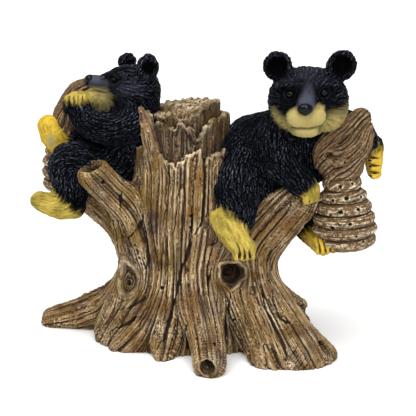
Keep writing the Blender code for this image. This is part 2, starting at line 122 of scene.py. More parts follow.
CORE_RING_DEPTH = 0.5
CROWN_FOOT = 94                          # height from which the trunk is painted as its crown
CROWN_RIPPLES = 34                       # radians of fine rings from the axis to the bark
CORE_SHARES = (0.85, 0.65, 0.45, 0.25, 0.05)   # of the core's width, where its mesh has rows
LOFT_TURNS, LOFT_ROWS = 360, 40          # points around the trunk's mesh and up its bark
SHELL_ROWS = 6                           # rows up an inner shell
TWIST_HEIGHT = 500                       # height in which the trunk's grain winds by a radian

# Limbs of the tree: x, y, z and radius along each, from the trunk outwards
ROOTS = (
    ((-26, 6, 32, 14), (-46, 12, 19, 11), (-66, 17, 8.5, 9.5), (-86, 20, 2.5, 6.5)),
    ((-26, 0, 30, 14), (-42, -3, 16, 11), (-53, -3, 4, 8)),
    ((-22, -8, 26, 14), (-34, -14, 12, 10), (-44, -14, 2, 8)),
    ((-16, -14, 24, 10), (-21, -23, 9, 6.5), (-23, -30, 1, 4.5)),
    ((-5, -12, 40, 14), (-3, -28, 24, 9.5), (0, -41, 12, 8.5), (1, -49, 5, 8)),
    ((16, -8, 36, 14), (25, -22, 18, 11), (31, -34, 3, 9)),
    ((22, -8, 34, 12), (38, -22, 16, 10.5), (48, -34, 3, 9.5)),
    ((22, -6, 30, 12), (40, -16, 14, 9), (52, -24, 5, 8), (58, -29, 2, 6.5)),
    ((-18, 12, 36, 14), (-30, 28, 16, 10), (-38, 40, 3, 8)),
    ((8, 12, 36, 14), (20, 30, 16, 10), (25, 41, 3, 8)),
)
SPLIT_ROOTS = (
    ((22, 6, 32, 10), (38, 10, 20, 7.5), (49, 11, 14, 4.5)),
    ((22, 6, 22, 10), (40, 8, 10, 6.5), (51, 7, 6, 4.5)),
)
SPLINTERS = (
    ((-27, -13.5, 100, 3.4), (-31, -13, 115, 2.8), (-33.6, -12, 127, 1.4)),
    ((-25, -14.5, 100, 3.2), (-28, -14, 112, 2.8), (-30, -13, 121, 1.6)),
)
RIGHT_CROTCH = ((6, -4, 48, 14), (20, -7, 66, 10), (32, -9, 79, 8))
RIGHT_BRANCH = ((12, 0, 36, 15), (25, -5, 52, 12), (37, -10, 67, 10.5), (46, -12, 79, 10.5))
LEFT_STUB = ((-32, -4, 58, 13), (-41, -10, 75, 9), (-50, -15, 86, 8), (-57, -18, 94.5, 8))
LEFT_SEAT = ((-28, 4, 52, 14), (-45, 5, 66, 11.5), (-57, 6, 74.5, 9.5), (-65, 7, 79, 8))
ROOT_WEB = ((42, -34, 0), (17, 11, 3))   # place and radii of the low wood between two roots

# Hollows: the left stub's dish and the hole in it, the trunk's, the front root's, the right root's
STUMP_HOLLOWS = (
    ((-61.5, -22, 108, 10.5), (-60, -21, 105, 8.5)),
    ((-60, -21, 101, 4.6), (-56.6, -18.6, 95, 3.8), (-53.5, -16.8, 90, 2.2)),
    ((15, -38, 44.5, 6.5), (12.5, -25, 44, 5.6), (11, -17, 43.5, 4.4)),
    ((-1, -62, 5, 4.5), (0, -52, 6, 3.5), (0, -47, 7, 1.5)),
    ((66, -37, 9.5, 5), (59.5, -34, 8.2, 3.8), (54, -30, 7.4, 2)),
)
HOLLOW_FILLET = 0.6
HOLLOW_REACH = 2                         # how far past a hollow it is still worked out

# Knots in the wood, where the grain parts: place, half width, half height
SWIRL = ((-45, -16, 38.5), 7.5, 9.0)
HOLLOW = ((12.5, -25, 44), 6.8, 6.6)
BACK_SWIRL = ((-20, 31, 62), 6.0, 8.0)
KNOTS = (SWIRL, HOLLOW, BACK_SWIRL)

# Cracks: half width, depth and the places that each crack of that size runs through
CRACKS = (
    (1.2, 2.0, ((-2.7, -20.2, 107), (-1.6, -20.3, 95.6), (-2, -21.2, 82.9), (-3.1, -22.7, 71.8),
                (-6.6, -23.7, 65))),
    (0.9, 1.5, ((-10.6, -35.6, 22.1), (-11.3, -28.5, 10.3), (-8.8, -26.2, 0.4))),
    (0.8, 1.5, ((-9, -24.2, 60), (-13.7, -26.4, 45.7), (-16.3, -28.3, 33.5), (-19.1, -27.7, 23.5),
                (-23.3, -30.4, 9.8))),
    (0.8, 1.2, ((36, -22, 40), (41, -25, 30), (46, -27, 23), (54, -27, 17))),
    (0.7, 1.3, ((32.8, -22.7, 34.9), (34.2, -27, 27.6), (38.2, -31.8, 21.6), (46.4, -31.1, 20.2))),
    (0.7, 1.2,
     ((-31.1, -19.7, 65.7), (-30.5, -20.4, 55), (-31.8, -19.3, 43.7), (-32.9, -20.9, 33.2)),
     ((2.9, -24.2, 51.9), (0.8, -27.2, 44.1), (0.3, -30, 37.4)),
     ((11.8, -25.7, 38), (10.8, -26.3, 27.4), (9.3, -26.2, 18.4), (8.6, -26, 8)),
     ((28, -24.1, 35.4), (28.9, -28.4, 28.1), (33, -33.2, 21), (37.9, -38.7, 12), (39.8, -42.5, 7.1)),
     ((-43.7, -20.4, 89.6), (-43.8, -21.3, 82.9), (-44.8, -19.8, 74.8)),
     ((-7.6, -23.4, 75), (-8.3, -24.1, 66))),
    (0.7, 1.1,
     ((-32.5, -18.3, 75.1), (-34.6, -19.5, 67.8), (-42.2, -15.6, 58.9)),
     ((-37.2, -23.1, 19.6), (-43.8, -19.7, 14.8), (-50.6, -15.9, 9.9), (-56.5, -11.8, 2.6)),
     ((-32.9, -21.4, 30), (-39.5, -18.4, 24.5), (-47.3, -13.5, 20.5)),
     ((-24.3, -30, 9.8), (-26.4, -31.5, 4.8)),
     ((-33.7, -19.2, 70.1), (-39.2, -18.1, 62.7), (-44, -14.7, 57.8))),
    (0.6, 1.3, ((-19, -21, 103), (-18.9, -21.5, 94.4), (-18.6, -21.9, 86.9))),
    (0.6, 1.0, ((-20.9, -23.2, 63.5), (-20.5, -23.5, 52.8), (-21.1, -23.1, 41.6))),
    (0.5, 0.9, ((-23.7, -19.7, 99.2), (-23.8, -20, 86.4))),
)

# Pinholes in the wood: place and radius
PINHOLES = (
    (-23.8, -24.5, 38.4, 1.1), (-23.8, -24.6, 36.6, 1.4), (-38.9, -22.5, 18.1, 1.0),
    (-41.2, -16.7, 60.3, 0.9), (-39.5, -16.5, 61.9, 0.9), (0.5, -28.1, 42.5, 1.1),
    (0.5, -29.6, 39.3, 1.1), (32.4, -17.6, 53.6, 1.1), (37.9, -18.8, 58.8, 0.9),
    (42.8, -19.9, 65, 0.8), (13.3, -27.5, 20.2, 0.8), (13.4, -27.3, 17.9, 0.8),
    (13.4, -25.4, 15, 0.9), (-6.1, -45.6, 17.4, 1.2), (28.1, -25.7, 33.1, 0.8),
    (-8.8, -23.1, 68.3, 1.0), (-8.6, -22.8, 74.2, 1.0), (3.5, -49.2, 15.7, 1.2),
    (-52.4, -24, 92.4, 1.4),
)

STUMP_BOX = ((-98, -64, -4), (62, 56, 138))   # where the stump's grain is worked out
STUMP_CUTS = (23, 54, 92)       # heights at which the stump is sawn into its four meshes
STUMP_TRIANGLES = 480000        # most triangles left on the whole stump
CUB_TRIANGLES = 160000          # the same on each cub
HIVE_TRIANGLES = 80000          # and on each hive

# A form is a distance field, the way its grain runs, its box and its fillet
Form = namedtuple("Form", "field comb low high fillet")

# Streaks of noise: size of its lumps, length, how far it leans to one end, place in the noise
Strand = namedtuple("Strand", "cell length lean shift")
WOOD_STRANDS = (Strand(2.6, 120, 0, 0), Strand(1.0, 110, 0, 31), Strand(0.5, 80, 0, 57))
FUR_STRANDS = (Strand(1.0, 13, 0.5, 0), Strand(0.6, 11, 0.5, 23), Strand(0.42, 9, 0.4, 57))
STRAW_STRANDS = (Strand(1.1, 40, 0, 5), Strand(0.5, 24, 0, 77))

# Where a cub's paint, cuts and eye sockets lie; its paths are x, y, z and radius at each joint
Marks = namedtuple("Marks", "box paws warm muzzle cheeks bridge dust face sockets cuts ears")


def shade(red, green, blue):
    """A colour given from 0 to 255, made linear."""
    return tuple(c / 255 / 12.92 if c <= 10 else ((c / 255 + 0.055) / 1.055) ** 2.4
                 for c in (red, green, blue))


def colour_property(name, description, colour):
    return FloatVectorProperty(name=name, description=description, subtype="COLOR", size=3,
                               min=0, max=1, default=colour)


def length_property(name, description, steps):
    return FloatProperty(name=name, description=description, subtype="DISTANCE", unit="LENGTH",
                         min=0, default=steps * STEP)


class FigurineWood(bpy.types.PropertyGroup):
    """Carving and paint of the stump."""
    skin: length_property("Skin", "Finest step of the stump's mesh", 0.46)
    fold_depth: length_property("Fold depth", "Depth of the broad folds along the trunk", 1.5)
    ridge_depth: length_property("Ridge depth", "Height from furrow to ridge", 0.9)
    line_depth: length_property("Line depth", "Depth of the lines of grain", 0.26)
    body: colour_property("Wood", "Main coat", shade(134, 99, 53))
    ochre: colour_property("Ochre", "Warm patches", shade(130, 101, 48))
    umber: colour_property("Umber", "Cool patches", shade(94, 68, 49))
    # The wash colour lies in the grooves and is also the painted shade in the cracks, the gaps between the
    # broken shells, the knots and the hollows
    wash: colour_property("Wash", "Dark wash left in the grooves", shade(36, 24, 18))
    # The dry brush is also the painted highlight on the ridges, the broken rims and the knots' lips
    brush: colour_property("Dry brush", "Pale paint dragged over the ridges", shade(228, 206, 168))


class FigurineFur(bpy.types.PropertyGroup):
    """Carving and paint of the cubs."""
    skin: length_property("Skin", "Finest step of the cubs' meshes", 0.45)
    lock_depth: length_property("Lock depth", "Height of the locks of fur", 0.95)
    hair_depth: length_property("Hair depth", "Height of the single hairs", 0.14)
    coat: colour_property("Coat", "Blue-black coat", shade(4, 5, 9))
    # Grey painted on the tips of the locks as a highlight, in place of light catching the glossy coat
    tip_highlight: colour_property("Sheen", "Grey brushed over the tips", shade(122, 128, 148))
    grey: colour_property("Bridge", "Grey bridge of the nose", shade(64, 66, 77))
    paw: colour_property("Paw", "Pale yellow paws", shade(196, 172, 80))
    warm: colour_property("Warm paw", "Paws painted a stronger yellow", shade(218, 182, 62))
    olive: colour_property("Olive", "Airbrushed shading on the paws", shade(116, 104, 40))
    # Paw wash is also painted shade in the recesses of the paws and the muzzle
    paw_wash: colour_property("Paw wash", "Ochre left between the toes", shade(110, 84, 30))
    muzzle: colour_property("Muzzle", "Pale yellow muzzle", shade(162, 147, 88))


class FigurineHive(bpy.types.PropertyGroup):
    """Carving and paint of the hives."""
    skin: length_property("Skin", "Finest step of the hives' meshes", 0.42)
    straw_depth: length_property("Straw depth", "Height of the straws and ridges", 0.5)
    straw: colour_property("Straw", "Main coat", shade(112, 84, 50))
    # The hive's wash is also painted shade in the grooves between the coils and on the stub
    wash: colour_property("Wash", "Dark wash left between the coils", shade(40, 27, 17))
    brush: colour_property("Dry brush", "Pale paint dragged over the coils", shade(216, 200, 168))


class FigurineStage(bpy.types.PropertyGroup):
    """Floor, light and camera."""
    floor: colour_property("Floor", "Pale seamless floor", (0.9, 0.9, 0.9))
    key: FloatProperty(name="Key", description="Strength of the broad overhead light",
                       min=0, default=3.6)
    fill: FloatProperty(name="Fill", description="Power of the front light",
                        subtype="POWER", unit="POWER", min=0, default=3)
    air: FloatProperty(name="Air", description="Strength of the white surroundings",
                       min=0, default=0.4)


# Fields

BLOCK = 8192                    # points worked on at a time


def in_blocks(work, points):
    """Do some work on blocks of points, several at a time, and join what comes back."""
    blocks = np.array_split(points, max(1, len(points) // BLOCK))
    with ThreadPoolExecutor() as pool:
        return np.concatenate(list(pool.map(work, blocks)), axis=-1)


def held(value):
    """A value held between 0 and 1."""
    return np.clip(value, 0, 1)


def lengths(ways):
    return np.linalg.norm(ways, axis=1)


def blended(first, second, radius):
    """Union of two distance fields with a fillet of about the given radius."""
    overlap = held(1 - np.abs(first - second) / radius)
    return np.minimum(first, second) - radius * overlap ** 2 / 4


def turned_by(turn):
    """The matrix of some turns about X, Y and Z in degrees."""
    return np.array(Euler([math.radians(angle) for angle in turn]).to_matrix())


def ball_field(points, centre, radii, turn):
    """Distance to an ellipsoid, near enough close to its skin."""
    local = (points - centre) @ turned_by(turn)
    reach = lengths(local / radii)
    slope = lengths(local / np.square(radii)) + TINY
    return reach * (reach - 1) / slope


def limb_read(points, joints):
    """Distance to a chain of tapered rods, and the direction of the nearest rod."""
    nearest = np.full(len(points), FAR)
    ways = np.zeros((len(points), 3))
    for start, end in zip(joints, joints[1:]):
        along = end[:3] - start[:3]
        share = held((points - start[:3]) @ along / (along @ along))
        gap = lengths(points - start[:3] - share[:, None] * along)
        gap -= start[3] + share * (end[3] - start[3])
        closer = gap < nearest
        nearest[closer] = gap[closer]
        ways[closer] = along / np.linalg.norm(along)
    return nearest, ways


def smooth_path(path, count=4):
    """The same limb with extra joints on a smooth curve through its own."""
    path = np.array(path, float)
    padded = np.vstack([2 * path[0] - path[1], path, 2 * path[-1] - path[-2]])
    joints = []
    for a, b, c, d in zip(padded, padded[1:], padded[2:], padded[3:]):
        for t in np.arange(count) / count:
            joints.append(0.5 * (2 * b + (c - a) * t + (2 * a - 5 * b + 4 * c - d) * t ** 2
                                 + (3 * b - a - 3 * c + d) * t ** 3))
    return np.array([*joints, path[-1]])


def toward(way):
    """Grain or fur that runs one way all over a form."""
    way = np.array(way, float) / np.linalg.norm(way)
    return lambda points: np.broadcast_to(way, (len(points), 3))


def away_from(centre):
    """Fur that spreads from a point."""
    return lambda points: unit(points - centre)


def unit(ways):
    """The same ways with a length of one."""
    return ways / (np.linalg.norm(ways, axis=-1, keepdims=True) + TINY)


# Meshes

def only(obj):
    """Select one object alone and make it active."""
    bpy.ops.object.select_all(action="DESELECT")
    obj.select_set(True)
    bpy.context.view_layer.objects.active = obj


def applied(obj, kind, **values):
    """Add a modifier with the given settings and apply it."""
    only(obj)
    modifier = obj.modifiers.new(kind.title(), kind)
    for name, value in values.items():
        setattr(modifier, name, value)
    bpy.ops.object.modifier_apply(modifier=modifier.name)


def remeshed(obj, voxel):
    """Give a mesh one closed skin of small squares."""
    applied(obj, "REMESH", mode="VOXEL", voxel_size=voxel)


def new_object(name, mesh):
    obj = bpy.data.objects.new(name, mesh)
    bpy.context.scene.collection.objects.link(obj)
    return obj


def loft(rings, name):
    """A closed mesh over rings of points, with its two ends filled."""
    skin = bmesh.new()
    grid = [[skin.verts.new(co) for co in ring] for ring in rings]
    for lower, upper in zip(grid, grid[1:]):
        for i, j in zip(range(len(lower)), [*range(1, len(lower)), 0]):
            skin.faces.new((lower[i], lower[j], upper[j], upper[i]))
    skin.faces.new(list(reversed(grid[0])))
    skin.faces.new(grid[-1])
    mesh = bpy.data.meshes.new(name)
    skin.to_mesh(mesh)
    skin.free()
    return mesh


def joined_copies(name, copies, extra=()):
    """One object holding a copy of a unit ball for each matrix, and other meshes as they are."""
    bpy.ops.object.select_all(action="DESELECT")
    bpy.ops.mesh.primitive_ico_sphere_add(subdivisions=3, radius=1)
    ball = bpy.context.object
    points = vertices(ball)
    faces = np.array([face.vertices[:] for face in ball.data.polygons])
    bpy.data.objects.remove(ball)
    all_points = [points @ matrix[:3, :3].T + matrix[:3, 3] for matrix in copies]
    all_faces = [faces + len(points) * i for i in range(len(copies))]
    gathered = bpy.data.meshes.new(name)
    gathered.from_pydata(np.concatenate(all_points), [], np.concatenate(all_faces))
    skin = bmesh.new()
    for mesh in (gathered, *extra):
        skin.from_mesh(mesh)
    skin.to_mesh(gathered)
    skin.free()
    return new_object(name, gathered)


def vertices(obj, kind="co"):
    """A row of three numbers for each vertex: its place, or by another kind its normal."""
    flat = np.empty(len(obj.data.vertices) * 3, np.float32)
    obj.data.vertices.foreach_get(kind, flat)
    return flat.reshape(-1, 3).astype(float)


def normals(obj):
    return vertices(obj, "normal")


def set_vertices(obj, points):
    obj.data.vertices.foreach_set("co", points.astype(np.float32).ravel())
    obj.data.update()


def raised(obj, heights):
    """Push each vertex out along its normal."""
    set_vertices(obj, vertices(obj) + normals(obj) * heights[:, None])


def eased(obj, values, rounds):
    """Average a value over each vertex's neighbours, several times."""
    ends = np.empty(len(obj.data.edges) * 2, np.int32)
    obj.data.edges.foreach_get("vertices", ends)
    one, two = ends.reshape(-1, 2).T
    count = len(values)
    links = np.bincount(ends, minlength=count)
    for _ in range(rounds):
        total = np.bincount(one, values[two], count) + np.bincount(two, values[one], count)
        values = (values + total / links) / 2
    return values


def standing_out(obj, rounds):
    """How far each vertex stands out of its surroundings, in grid steps."""
    points = vertices(obj)
    mean = np.stack([eased(obj, column, rounds) for column in points.T], axis=1)
    return np.sum((points - mean) * normals(obj), axis=1)


def coat(obj, **layers):
    """Keep layers of values, one or three for each vertex, for the paint to read."""
    for name, values in layers.items():
        kind, slot = ("FLOAT", "value") if values.ndim == 1 else ("FLOAT_VECTOR", "vector")
        layer = obj.data.attributes.new(name, kind, "POINT")
        layer.data.foreach_set(slot, values.astype(np.float32).ravel())


def sawn(obj, height, keep_above):
    """Cut an object off flat at a height, with a sharp edge round the cut."""
    only(obj)
    bpy.ops.object.mode_set(mode="EDIT")
    bpy.ops.mesh.select_all(action="SELECT")
    bpy.ops.mesh.bisect(plane_co=(0, 0, height), plane_no=(0, 0, 1), use_fill=True,
                        clear_inner=keep_above, clear_outer=not keep_above)
    bpy.ops.mesh.region_to_loop()
    bpy.ops.mesh.mark_sharp()
    bpy.ops.object.mode_set(mode="OBJECT")


def thinned(obj, triangles):
    """Bring a mesh down to a number of triangles, most of them where the relief is."""
    now = 2 * len(obj.data.polygons)
    if now > triangles:
        applied(obj, "DECIMATE", ratio=triangles / now, use_collapse_triangulate=True)


def finished(obj, paint):
    """Bring a carved piece from the grid to metres, paint it and hand it over."""
    set_vertices(obj, (vertices(obj) - MIDDLE) * STEP)
    obj.data.materials.clear()
    obj.data.materials.append(paint)
    only(obj)
    bpy.ops.object.shade_smooth()
    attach(obj, "root")
    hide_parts(NODE)


class Clay:
    """Balls and limbs gathered in one mesh and fused under one skin.

    Each form is kept twice: as a mesh for the voxel remesh, and as a distance field that the
    skin then settles on, so that neighbours meet in a fillet.
    """

    def __init__(self, fillet):
        self.fillet = fillet
        self.forms = []
        self.hollows = []
        self.balls = []
        self.cutters = []
        self.meshes = []

    def ball(self, centre, radii, turn=(0, 0, 0), fillet=None, comb=(0, 0, -1)):
        """An ellipsoid, turned by degrees about X, Y and Z."""
        matrix = np.eye(4)
        matrix[:3, :3] = turned_by(turn) @ np.diag(radii)
        matrix[:3, 3] = centre
        self.balls.append(matrix)
        reach = max(radii)
        self.add(lambda p: ball_field(p, centre, radii, turn),
                 comb if callable(comb) else toward(comb),
                 np.subtract(centre, reach), np.add(centre, reach), fillet)

    def limb(self, path, fillet=None, back=False):
        """A tapered tube through x, y, z, radius joints; its grain runs along it or back."""
        joints = smooth_path(path)
        self.balls += beads(joints)
        sign = -1 if back else 1
        self.add(lambda p: limb_read(p, joints)[0], lambda p: sign * limb_read(p, joints)[1],
                 *limb_box(joints, 0), fillet)

    def hollow(self, path):
        """A tapered hole, x, y, z and radius at each joint."""
        joints = smooth_path(path)
        self.cutters += beads(joints)
        self.hollows.append(Form(lambda p: limb_read(p, joints)[0], None,
                                 *limb_box(joints, HOLLOW_REACH), HOLLOW_FILLET))

    def loft(self, mesh, field, comb):
        """Any other closed mesh with the field that describes it."""
        self.meshes.append(mesh)
        self.add(field, comb, (-FAR, -FAR, -FAR), (FAR, FAR, FAR), None)

    def add(self, field, comb, low, high, fillet):
        self.forms.append(Form(field, comb, np.array(low), np.array(high), fillet or self.fillet))

    def distance(self, points, hollows=True):
        """The blended field of everything, less the hollows."""
        total = np.full(len(points), FAR)
        for form in self.forms:
            near = within(points, form.low, form.high, form.fillet + REACH)
            total[near] = blended(total[near], form.field(points[near]), form.fillet)
        for form in self.hollows * hollows:
            near = within(points, form.low, form.high, 0)
            total[near] = -blended(-total[near], form.field(points[near]), form.fillet)
        return total

    def combed(self, points, spread=3.0):
        """The way the grain runs, weighted towards the nearest forms."""
        total = self.distance(points, hollows=False)
        ways = np.zeros((len(points), 3))
        for form in self.forms:
            near = within(points, form.low, form.high, form.fillet + REACH + spread)
            close = points[near]
            weight = np.exp(np.clip(total[near] - form.field(close), -COMB_RANGE, 0) / spread)
            ways[near] += weight[:, None] * form.comb(close)
        return total, ways

    def fused(self, name, voxel):
        """One skin over all the forms, less the hollows, settled on the blended field."""
        obj = joined_copies(name, self.balls, self.meshes)
        remeshed(obj, COARSE)
        if self.hollows:
            cutter = joined_copies("cutter", self.cutters)
            remeshed(cutter, COARSE)
            applied(obj, "BOOLEAN", operation="DIFFERENCE", object=cutter)
            bpy.data.objects.remove(cutter)
        for size, rounds in zip((COARSE, COARSE, voxel), SETTLING_ROUNDS):
            remeshed(obj, size)
            for _ in range(rounds):
                points = vertices(obj)
                longest = SETTLING * size
                gap = np.clip(in_blocks(self.distance, points), -longest, longest)
                set_vertices(obj, points - normals(obj) * gap[:, None] * SETTLED_SHARE)
        return obj


def within(points, low, high, reach):
    """Which points lie in a box or no further than a reach outside it."""
    return np.flatnonzero(np.all((points > low - reach) & (points < high + reach), axis=1))


def limb_box(joints, reach):
    """The two corners of the box round a limb, moved out by a reach."""
    return ((joints[:, :3] - joints[:, 3:]).min(axis=0) - reach,
            (joints[:, :3] + joints[:, 3:]).max(axis=0) + reach)


def beads(joints, spacing=0.35):
    """Balls set close along a limb."""
    copies = []
    for start, end in zip(joints, joints[1:]):
        gap = np.linalg.norm(end[:3] - start[:3])
        count = max(1, math.ceil(gap / (spacing * min(start[3], end[3]))))
        for share in np.arange(count) / count:
            copies.append(start + share * (end - start))
    copies.append(joints[-1])
    return [np.block([[np.eye(3) * bead[3], bead[:3, None]], [np.zeros(3), 1]]) for bead in copies]


# Grain and fur

NOISE_BITS = 7                  # the noise block has two to this power of cells along each side
NOISE_SIDE = 1 << NOISE_BITS
LAST_CELL = 1.001               # taken off a count of cells to stay within the last one


def noise_block(seed):
    """A wrapping block of noise with lumps about four cells apart."""
    white = np.random.default_rng(seed).standard_normal([NOISE_SIDE] * 3)
    turns, half = np.fft.fftfreq(NOISE_SIDE), np.fft.rfftfreq(NOISE_SIDE)
    squared = turns[:, None, None] ** 2 + turns[None, :, None] ** 2 + half[None, None, :] ** 2
    fine, coarse = 0.6, 1.2
    keep = (np.exp(-squared * (math.tau * fine) ** 2 / 2)
            - np.exp(-squared * (math.tau * coarse) ** 2 / 2))
    block = np.fft.irfftn(np.fft.rfftn(white) * keep, s=white.shape)
    return (block / block.std()).astype(np.float32).ravel()


NOISE = noise_block(7)


def noise_at(places):
    """Read the noise block between its cells; it repeats from side to side."""
    base = np.floor(places).astype(np.int32)
    part = (places - base).astype(np.float32)
    low, high = base & (NOISE_SIDE - 1), (base + 1) & (NOISE_SIDE - 1)
    ix = (low[:, 0] << 2 * NOISE_BITS, high[:, 0] << 2 * NOISE_BITS)
    iy = (low[:, 1] << NOISE_BITS, high[:, 1] << NOISE_BITS)
    iz = (low[:, 2], high[:, 2])
    fx, fy, fz = ((1 - part[:, i], part[:, i]) for i in range(3))
    total = np.zeros(len(places), np.float32)
    for i, j in itertools.product((0, 1), repeat=2):
        corner = ix[i] | iy[j]
        line = fz[0] * NOISE[corner | iz[0]] + fz[1] * NOISE[corner | iz[1]]
        total += fx[i] * fy[j] * line
    return total


class Grain:
    """Directions of the grain on a coarse lattice, read anywhere between its points."""

    def __init__(self, clay, box, cell=2.0, knots=()):
        low, high = box
        self.low = np.array(low, float)
        self.cell = cell
        self.counts = np.ceil(np.subtract(high, low) / cell).astype(int) + 1
        axes = [self.low[i] + cell * np.arange(self.counts[i]) for i in range(3)]
        points = np.stack(np.meshgrid(*axes, indexing="ij"), axis=-1).reshape(-1, 3)
        total, ways = clay.combed(points)
        slope = np.gradient(total.reshape(self.counts), cell)
        self.out = unit(np.stack(slope, axis=-1).reshape(-1, 3))
        ways = unit(ways - self.out * np.sum(ways * self.out, axis=1)[:, None])
        for knot in knots:
            ways = bent_round(ways, points, self.out, knot)
        self.ways = ways.astype(np.float32)

    def at(self, points):
        """Directions at some points, of unit length."""
        places = np.clip((points - self.low) / self.cell, 0, self.counts - LAST_CELL)
        base = places.astype(np.int32)
        part = (places - base).astype(np.float32)
        ny, nz = self.counts[1], self.counts[2]
        start = (base[:, 0] * ny + base[:, 1]) * nz + base[:, 2]
        total = np.zeros((len(points), 3), np.float32)
        for i, j, k in itertools.product((0, 1), repeat=3):
            share = ((part[:, 0] if i else 1 - part[:, 0]) * (part[:, 1] if j else 1 - part[:, 1])
                     * (part[:, 2] if k else 1 - part[:, 2]))
            total += share[:, None] * self.ways[start + (i * ny + j) * nz + k]
        return unit(total)

    def outward(self, point):
        """The surface's own direction at the lattice point nearest to a place."""
        i, j, k = np.round((np.array(point) - self.low) / self.cell).astype(int)
        return self.out[(i * self.counts[1] + j) * self.counts[2] + k]


def knot_frame(points, centre, out, half_width, half_height):
    """Places around a knot in shares of its half width and half height, and their depth.

    The directions to the knot's side and to its top come last.
    """
    out = unit(out)
    up = unit(np.array((0, 0, 1.0)) - out * out[2])
    side = np.cross(up, out)
    local = points - centre
    return local @ side / half_width, local @ up / half_height, local @ out, side, up


def bent_round(ways, points, outs, knot):
    """Lead the grain past a knot on both sides, as a stream parts round a stone."""
    centre, half_width, half_height = knot
    near = lengths(points - centre) < 4 * half_height
    out = unit(outs[np.argmin(lengths(points - centre))])
    a, b, _, side, up = knot_frame(points[near], centre, out, half_width, half_height)
    far = np.maximum(a ** 2 + b ** 2, 1)
    across = -2 * a * b / far ** 2
    along = 1 + (a ** 2 - b ** 2) / far ** 2
    added = (across * half_width)[:, None] * side + ((along - 1) * half_height)[:, None] * up
    round_it = (b * half_width)[:, None] * side - (a * half_height)[:, None] * up
    changed = ways.copy()
    inside = (a ** 2 + b ** 2 < 1)[:, None]
    changed[near] = unit(np.where(inside, round_it, ways[near] + added / half_height))
    return changed


def streaks(points, grain, strands, stride=1.5):
    """Noise smeared along the grain, once for each strand, with a spread of one."""
    longest = max(strand.length for strand in strands) / 2

    def smeared(block):
        totals = np.zeros((len(strands), len(block)), np.float32)
        for sign in (1, -1):
            here = block.astype(np.float32)
            for walked in np.arange(0, longest, stride):
                way = sign * grain.at(here)
                for total, strand in zip(totals, strands):
                    gap = strand.cell
                    first = math.ceil(walked / gap) * gap
                    for travel in np.arange(first, min(walked + stride, strand.length / 2), gap):
                        fade = math.cos(math.pi * travel / strand.length) ** 2 * (1 + sign * strand.lean)
                        place = here + (travel - walked) * way
                        total += fade * noise_at(place / strand.cell + strand.shift)
                here = here + stride * way
        return totals

    totals = in_blocks(smeared, points)
    return (totals - totals.mean(axis=1)[:, None]) / totals.std(axis=1)[:, None]


def creased(value, width):
    """Rounded ridges with a sharp crease between them, from 0 in the crease to 1."""
    return 1 - np.exp(-np.abs(value) / width)


CUT_FLATNESS = 0.35             # share of a distance to the back that counts for a cut
CUT_REACH = 4                   # how far round a cut it is worked out
CUT_ENDS = 0.3                  # angle left off both ends of the half wave that shapes a cut
HOLE_DEPTH = 1.6                # depth of a round hole in its radii


def scored(points, cuts, ragged):
    """How deep some cracks go at each point; they thin out to both ends.

    A cut reaches further in depth than across, so that it meets the skin under it.
    """
    depth = np.zeros(len(points))
    flatter = np.array((1, CUT_FLATNESS, 1))
    for width, deep, *paths in cuts:
        for path in paths:
            joints = smooth_path([(*place, 0) for place in path])
            near = within(points, joints[:, :3].min(axis=0), joints[:, :3].max(axis=0), CUT_REACH)
            joints[:, :3] *= flatter
            wave = np.sin(np.linspace(CUT_ENDS, math.pi - CUT_ENDS, len(joints)))
            joints[:, 3] = width * wave ** 0.5
            gap = limb_read(points[near] * flatter, joints)[0] + ragged[near]
            depth[near] = np.maximum(depth[near], deep * held(-gap / width) ** 0.7)
    return depth


def dotted(points, dots):
    """Small round holes: place and radius of each; how deep they go at each point."""
    depth = np.zeros(len(points))
    for *place, radius in dots:
        near = within(points, np.array(place), np.array(place), 2 * radius)
        gap = lengths(points[near] - place)
        bowl = held(1 - (gap / radius) ** 3)
        depth[near] = np.maximum(depth[near], HOLE_DEPTH * radius * bowl)
    return depth


# Stump

def trunk_section(height):
    """Centre x, centre y, half width and half depth of the trunk at a height."""
    table = np.array(TRUNK)
    return [np.interp(height, table[:, 0], table[:, column]) for column in range(1, 5)]


def round_trunk(points):
    """Where points lie about the trunk's axis.

    Gives their places from the axis, how far out they are in shares of the trunk, their turns
    from the front in degrees, and the trunk's smaller half width at their height.
    """
    cx, cy, half_width, half_depth = trunk_section(points[:, 2])
    away = points[:, :2] - np.stack([cx, cy], axis=1)
    across, along = away[:, 0] / half_width, away[:, 1] / half_depth
    turn = np.degrees(np.arctan2(across, -along))
    return away, np.hypot(across, along), turn, np.minimum(half_width, half_depth)


def rim_height(turn, rim, seed):
    """Height of a broken rim, with lumps between its points."""
    total = np.interp(turn, *np.array(rim).T)
    for lumps, height in RIM_JAGS:
        total = total + height * np.sin(np.radians(turn) * lumps + seed * lumps)
    return total


def rim_heights(turn):
    """Heights of all three broken rims, outer first."""
    return [rim_height(turn, rim, seed) for seed, rim in enumerate(RIMS)]


def core_height(rim, part):
    """Height of the broken core, with its rings, from its middle to its rim."""
    rings = CORE_RING_DEPTH * np.sin(part * CORE_RINGS * math.tau)
    return CORE_MIDDLE + (rim - CORE_MIDDLE) * part ** 1.5 + rings


def trunk_field(points):
    """Distance to the trunk with its broken shells."""
    z = points[:, 2]
    _, share, turn, size = round_trunk(points)
    outer, middle, inner = rim_heights(turn)

    def shell(rim, reach):
        """A pot with its rim broken off at the given heights."""
        wall = (share - reach) * size
        pot = np.maximum(wall, z - rim)
        inside = np.maximum(wall + RIM_WALL, outer - RIM_DEPTH - z)
        return np.maximum(pot, -inside)

    core = np.maximum((share - INNER_SHARE) * size,
                      z - core_height(inner, held(share / INNER_SHARE)))
    return np.minimum(np.minimum(shell(outer, 1), shell(middle, MIDDLE_SHARE)), core)


